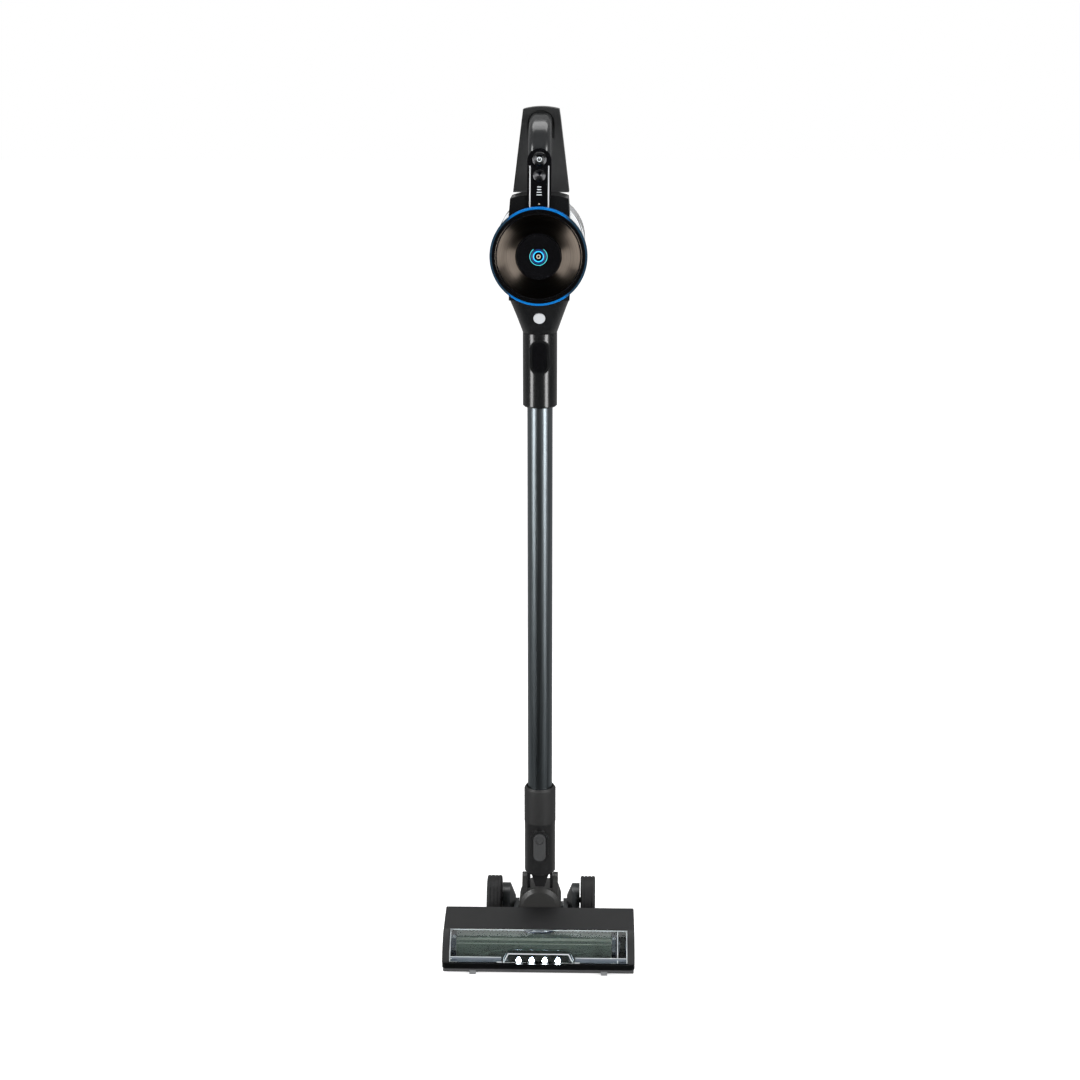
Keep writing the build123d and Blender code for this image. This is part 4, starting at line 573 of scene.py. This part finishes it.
KEY_PROUD = 4.1 * MM
POWER_UP, POWER_R = 42.5 * MM, 9.4 * MM
MODE_UP, MODE_R = 22.8 * MM, 8.4 * MM
at = panel_place(POWER_UP, KEY_PROUD)
piece("power_face", "power_button", key_face(POWER_R), key_spun, at, panel_turn)
at = panel_place(MODE_UP, KEY_PROUD)
piece("mode_face", "mode_button", key_face(MODE_R), key_spun, at, panel_turn)
at = panel_place(POWER_UP, KEY_PROUD + 0.25 * MM)
piece("power_icon", "power_button", key_ring(2.7 * MM, 0.7 * MM, 0.3 * MM), glow_bars, at, panel_turn)
piece("power_lip", "power_button", key_ring(6.4 * MM, 0.6 * MM, 0.5 * MM), trim_dark, at, panel_turn)
at = panel_place(POWER_UP + 1.6 * MM, KEY_PROUD + 0.45 * MM)
piece("power_stroke", "power_button", straight(0.7 * MM, 2.4 * MM, 0.3 * MM), glow_bars, at, panel_turn)

# ------------------------------------------------------------------ floor head
COVER_HALF = 121 * MM
FRONT_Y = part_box("front_window")[0][1]
SEAM = Vector((0, WAND.y - 60 * MM, 52.5 * MM))
BUMPER_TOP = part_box("bumper")[1][2]
BEARING_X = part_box("bearing_plate")[0][0]
ROLLER = middle("roller_core")
ROLLER.x = 0
PILE_LOW, PILE_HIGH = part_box("roller_pile")
PILE_R = (PILE_HIGH[2] - PILE_LOW[2]) / 2


# the window's thick top edge, a pale bar that is a painted highlight
at = SEAM + Vector((0, -0.9 * MM, -1.4 * MM))
edge_bar = straight(2 * COVER_HALF - 1 * MM, 1.6 * MM, 0.8 * MM)
piece("window_edge", "floor_head", edge_bar, edge_painted_highlight, at, bevel=0.3 * MM)

WINDOW_FOOT = Vector((0, WAND.y - 95.5 * MM, BUMPER_TOP))
WINDOW_BULGE = 5 * MM


def window_place(t, proud=0.0):
    """Point on the window's curved front, from its foot (0) to the seam (1)."""
    chord = SEAM - WINDOW_FOOT
    out = Vector((0, -chord.z, chord.y)).normalized()
    return WINDOW_FOOT + chord * t + out * (4 * t * (1 - t) * WINDOW_BULGE + proud)


def window_strip(width, low, high, proud=0.25 * MM, deep=1.0 * MM):
    """Narrow strip that follows the window's curve between two heights."""

    def build(shape):
        steps = 12
        rows = []
        for i in range(steps + 1):
            t = low + (high - low) * i / steps
            face, back = window_place(t, proud), window_place(t, proud - deep)
            rows.append(
                [
                    shape.verts.new((x, place.y, place.z))
                    for x, place in (
                        (-width / 2, face), (width / 2, face), (width / 2, back), (-width / 2, back),
                    )
                ]
            )
        for here, there in zip(rows, rows[1:]):
            for j in range(4):
                k = (j + 1) % 4
                shape.faces.new((here[j], here[k], there[k], there[j]))
        shape.faces.new(rows[0])
        shape.faces.new(list(reversed(rows[-1])))

    return build


# upright panes at both ends of the roller chamber, drawn as pale strips with a painted highlight, and the
# dark seams beside the end caps
PANE_IN = 1.6 * MM  # of the outer panes, from the end caps
PANE_W = 1.1 * MM
SEAM_W = 0.9 * MM
for x in (-COVER_HALF + PANE_IN, BEARING_X + 1 * MM, COVER_HALF - PANE_IN):
    piece("pane_edge", "floor_head", window_strip(PANE_W, 0.02, 0.97), edge_painted_highlight, (x, 0, 0))
for side in (-1, 1):
    seam = window_strip(SEAM_W, 0.0, 1.0)
    piece("cap_seam", "floor_head", seam, bumper_black, (side * COVER_HALF, 0, 0))


def hood_front(shape):
    """Tapered dark piece under the cover's seam."""
    wide, narrow, high, deep = 20 * MM, 16 * MM, 5 * MM, 1.2 * MM
    outline = [(-wide, 0), (-narrow, -high), (narrow, -high), (wide, 0)]
    front = [shape.verts.new((x, -deep, z)) for x, z in outline]
    back = [shape.verts.new((x, 0, z)) for x, z in outline]
    shape.faces.new(front)
    shape.faces.new(list(reversed(back)))
    for i in range(4):
        k = (i + 1) % 4
        shape.faces.new((front[i], front[k], back[k], back[i]))


at = SEAM + Vector((0, -1.9 * MM, -0.6 * MM))
piece("hood_front", "floor_head", hood_front, core_navy, at, bevel=0.3 * MM, smooth=False)

# low clear sill with a painted highlight line along its top, and two small clips beside the lamps
SILL_IN, SILL_OUT = 50 * MM, COVER_HALF - 2 * MM
SILL_MID = BUMPER_TOP + 3.6 * MM
SILL_H = 7.0 * MM
CLIP_X = 52.5 * MM
LOW_FRONT = window_place(0.1).y
for side in (-1, 1):
    at = Vector((side * (SILL_IN + SILL_OUT) / 2, LOW_FRONT, SILL_MID))
    low_bar = straight(SILL_OUT - SILL_IN, SILL_H, 0.5 * MM)
    piece("sill", "floor_head", low_bar, sill_blue, at, bevel=0.2 * MM)
    at = at + Vector((0, 0, SILL_H / 2 + 0.3 * MM))
    line = straight(SILL_OUT - SILL_IN, 0.9 * MM, 0.8 * MM)
    piece("sill_line", "floor_head", line, edge_painted_highlight, at)
    at = Vector((side * CLIP_X, FRONT_Y - 0.2 * MM, BUMPER_TOP + 1.4 * MM))
    clip = straight(7 * MM, 1.7 * MM, 1.0 * MM)
    piece("clip", "floor_head", clip, comb_pale, at, bevel=0.4 * MM)


def scroll(shape):
    """Curled clear lug that holds a corner of the window."""
    for x, z, r in ((0, 0, 3.2), (4.4, -0.8, 2.2), (-3.6, -1.2, 1.8)):
        bmesh.ops.create_uvsphere(
            shape, u_segments=20, v_segments=12, radius=r * MM,
            matrix=Matrix.Translation((x * MM, 0, z * MM)) @ Matrix.Diagonal((1, 0.5, 0.8, 1)),
        )


LUG_IN = 5 * MM  # of the corner lugs, from the end caps
for side in (-1, 1):
    at = Vector((side * (COVER_HALF - LUG_IN), LOW_FRONT, SILL_MID))
    piece("window_lug", "floor_head", scroll, lug_clear, at)


# lens rim: a painted highlight line along the sloping sides and the top of the lamp lens
LENS_LOW, LENS_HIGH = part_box("lamp_lens")
LAMP_MID = middle("headlamps")


def lens_rim(shape):
    """Narrow frame round the lens, open at its foot."""
    foot, head = LENS_HIGH[0], LENS_HIGH[0] - 6.8 * MM
    top, base = LENS_HIGH[2] - LAMP_MID.z, BUMPER_TOP - LAMP_MID.z
    w = 1.2 * MM
    foot_in, head_in = foot - 1.6 * w, head - 0.6 * w
    outer = [(-foot, base), (-head, top), (head, top), (foot, base)]
    inner = [(-foot_in, base), (-head_in, top - w), (head_in, top - w), (foot_in, base)]
    loops = []
    for y in (-0.6 * MM, 0.4 * MM):
        loops.append([shape.verts.new((x, y, z)) for x, z in outer])
        loops.append([shape.verts.new((x, y, z)) for x, z in inner])
    front_out, front_in, back_out, back_in = loops
    for i in range(3):
        shape.faces.new((front_out[i], front_out[i + 1], front_in[i + 1], front_in[i]))
        shape.faces.new((back_in[i], back_in[i + 1], back_out[i + 1], back_out[i]))
        shape.faces.new((back_out[i], back_out[i + 1], front_out[i + 1], front_out[i]))
        shape.faces.new((front_in[i], front_in[i + 1], back_in[i + 1], back_in[i]))
    for i in (0, 3):
        shape.faces.new((front_out[i], front_in[i], back_in[i], back_out[i]))


at = Vector((0, LENS_LOW[1] - 0.5 * MM, LAMP_MID.z))
piece("lens_rim", "floor_head", lens_rim, edge_painted_highlight, at, smooth=False)

def lamp_patch(shape):
    """Round bright patch."""
    bmesh.ops.create_circle(
        shape, cap_ends=True, segments=32, radius=3.4 * MM, matrix=Matrix.Rotation(math.pi / 2, 4, "X")
    )


# glow of each lamp on the lens
LAMP_COUNT = 4
LAMP_PITCH = 17.6 * MM
for i in range(LAMP_COUNT):
    at = Vector(((i - (LAMP_COUNT - 1) / 2) * LAMP_PITCH, LENS_LOW[1] - 0.25 * MM, LAMP_MID.z))
    piece("lamp_glow", "floor_head", lamp_patch, lamp_white, at)


STRIPE_PROUD = 0.25 * MM
STRIPE_ROOT = 0.6 * MM


def stripe(start, sweep, x0, x1):
    """Curved strip that lies on the roller's pile between two angles from straight up."""

    def build(shape):
        steps = 10
        outer_r, inner_r = PILE_R + STRIPE_PROUD, PILE_R - STRIPE_ROOT
        loops = []
        angles = [start + sweep * i / steps for i in range(steps + 1)]
        for x in (x0, x1):
            for r in (outer_r, inner_r):
                loops.append([shape.verts.new((x, -r * math.sin(a), r * math.cos(a))) for a in angles])
        left_out, left_in, right_out, right_in = loops
        for i in range(steps):
            shape.faces.new((left_out[i], left_out[i + 1], right_out[i + 1], right_out[i]))
            shape.faces.new((left_in[i], right_in[i], right_in[i + 1], left_in[i + 1]))
            shape.faces.new((left_out[i], left_in[i], left_in[i + 1], left_out[i + 1]))
            shape.faces.new((right_out[i], right_out[i + 1], right_in[i + 1], right_in[i]))
        for i in (0, steps):
            shape.faces.new((left_out[i], right_out[i], right_in[i], left_in[i]))

    return build


at = Vector((0, ROLLER.y, ROLLER.z))
X0, X1 = PILE_LOW[0] + 0.4 * MM, PILE_HIGH[0] - 0.4 * MM
STEP_LEFT, STEP_RIGHT = 4 * MM, 58 * MM
# painted highlight: lighter bands of pile lie across the roller; the darker band is painted shade that
# steps the edge above the top highlights between two points along the roller
BANDS = (
    ("pile_highlight_stripe", 33, 9, X0, X1, pile_painted_highlight),
    ("pile_highlight_stripe", 52, 3, X0, X1, pile_painted_highlight),
    ("pile_shade_step", 14, 15, STEP_LEFT, STEP_RIGHT, pile_painted_shade),
    ("pile_highlight_stripe", 150, 9, X0, X1, pile_painted_highlight),
    ("pile_highlight_stripe", 262, 9, X0, X1, pile_painted_highlight),
)
for name, start, sweep, left, right, material in BANDS:
    band = stripe(math.radians(start), math.radians(sweep), left, right)
    piece(name, "brush_roller", band, material, at)

# ------------------------------------------------------------------ stage, light and camera
CAMERA_DISTANCE = 2.400
CAMERA_HEIGHT = 1.205
CAMERA_PITCH = math.radians(14.5)
CAMERA_YAW = math.radians(1.5)
FOCAL = 62.53
SENSOR = 36.0

camera_data = bpy.data.cameras.new("camera")
camera_data.lens = FOCAL
camera_data.sensor_width = SENSOR
camera_data.clip_end = 50
camera = bpy.data.objects.new("camera", camera_data)
camera.location = (
    CAMERA_DISTANCE * math.sin(CAMERA_YAW), WAND.y - CAMERA_DISTANCE * math.cos(CAMERA_YAW), CAMERA_HEIGHT
)
camera.rotation_euler = (math.pi / 2 - CAMERA_PITCH, 0, CAMERA_YAW)
scene.collection.objects.link(camera)
scene.camera = camera


def floor_material():
    """Plain pale floor that fades to white with distance."""
    material, tree, shader = new_material("floor_pale")
    place = tree.nodes.new("ShaderNodeTexCoord")
    away = tree.nodes.new("ShaderNodeVectorMath")
    away.operation = "LENGTH"
    tree.links.new(place.outputs["Object"], away.inputs[0])
    fade = tree.nodes.new("ShaderNodeMapRange")
    fade.inputs["From Min"].default_value = 0.5
    fade.inputs["From Max"].default_value = 4.0
    fade.inputs["To Min"].default_value = 0.70
    fade.inputs["To Max"].default_value = 1.0
    tree.links.new(away.outputs["Value"], fade.inputs["Value"])
    tree.links.new(fade.outputs["Result"], shader.inputs["Emission Strength"])
    set_values(
        shader,
        {"Base Color": (0.90, 0.90, 0.90, 1), "Roughness": 0.9, "Specular IOR Level": 0.1,
         "Emission Color": (1, 1, 1, 1)},
    )
    return material


def floor_plane(shape):
    """Large square."""
    bmesh.ops.create_grid(shape, x_segments=1, y_segments=1, size=20)


floor_shape = bmesh.new()
floor_plane(floor_shape)
floor_mesh = bpy.data.meshes.new("floor")
floor_shape.to_mesh(floor_mesh)
floor_shape.free()
floor_mesh.materials.append(floor_material())
floor = bpy.data.objects.new("floor", floor_mesh)
scene.collection.objects.link(floor)
floor.visible_glossy = False


def softbox(name, at, aim, size, power, colour=(1, 1, 1)):
    """Rectangular area light that points at a place."""
    data = bpy.data.lights.new(name, "AREA")
    data.shape = "RECTANGLE"
    data.size, data.size_y = size
    data.energy = power
    data.color = colour
    light = bpy.data.objects.new(name, data)
    light.location = at
    light.rotation_euler = (Vector(aim) - Vector(at)).to_track_quat("-Z", "Y").to_euler()
    scene.collection.objects.link(light)


def round_at(degrees, distance, height):
    """Place at an angle from straight in front, measured towards the right."""
    turn = math.radians(degrees)
    return (distance * math.sin(turn), WAND.y - distance * math.cos(turn), height)


softbox("left_box", round_at(-56, 2.2, 1.15), (0, 0, 0.8), (0.75, 1.9), 46)
softbox("right_box", round_at(46, 2.2, 1.15), (0, 0, 0.8), (0.75, 1.9), 52)
softbox("top_box", (0, 0.6, 2.8), (0, 0, 0.3), (2.2, 1.2), 26)


def studio_world():
    """White all round for the camera, and darker towards the front for what the object reflects."""
    world = bpy.data.worlds.new("studio")
    world.use_nodes = True
    scene.world = world
    tree = world.node_tree
    tree.nodes.clear()
    output = tree.nodes.new("ShaderNodeOutputWorld")
    seen = tree.nodes.new("ShaderNodeBackground")
    seen.inputs["Color"].default_value = (1, 1, 1, 1)
    lit = tree.nodes.new("ShaderNodeBackground")
    lit.inputs["Strength"].default_value = 0.28
    place = tree.nodes.new("ShaderNodeTexCoord")
    split = tree.nodes.new("ShaderNodeSeparateXYZ")
    tree.links.new(place.outputs["Generated"], split.inputs["Vector"])
    shade = tree.nodes.new("ShaderNodeMapRange")
    shade.inputs["From Min"].default_value = -0.25
    shade.inputs["From Max"].default_value = 0.5
    shade.inputs["To Min"].default_value = 0.02
    shade.inputs["To Max"].default_value = 1.0
    tree.links.new(split.outputs["Y"], shade.inputs["Value"])
    tree.links.new(shade.outputs["Result"], lit.inputs["Color"])
    path = tree.nodes.new("ShaderNodeLightPath")
    mix = tree.nodes.new("ShaderNodeMixShader")
    direct = tree.nodes.new("ShaderNodeMath")
    direct.operation = "MAXIMUM"
    tree.links.new(path.outputs["Is Camera Ray"], direct.inputs[0])
    tree.links.new(path.outputs["Is Transmission Ray"], direct.inputs[1])
    tree.links.new(direct.outputs["Value"], mix.inputs["Fac"])
    tree.links.new(lit.outputs["Background"], mix.inputs[1])
    tree.links.new(seen.outputs["Background"], mix.inputs[2])
    tree.links.new(mix.outputs["Shader"], output.inputs["Surface"])


studio_world()
scene.view_settings.view_transform = "Standard"
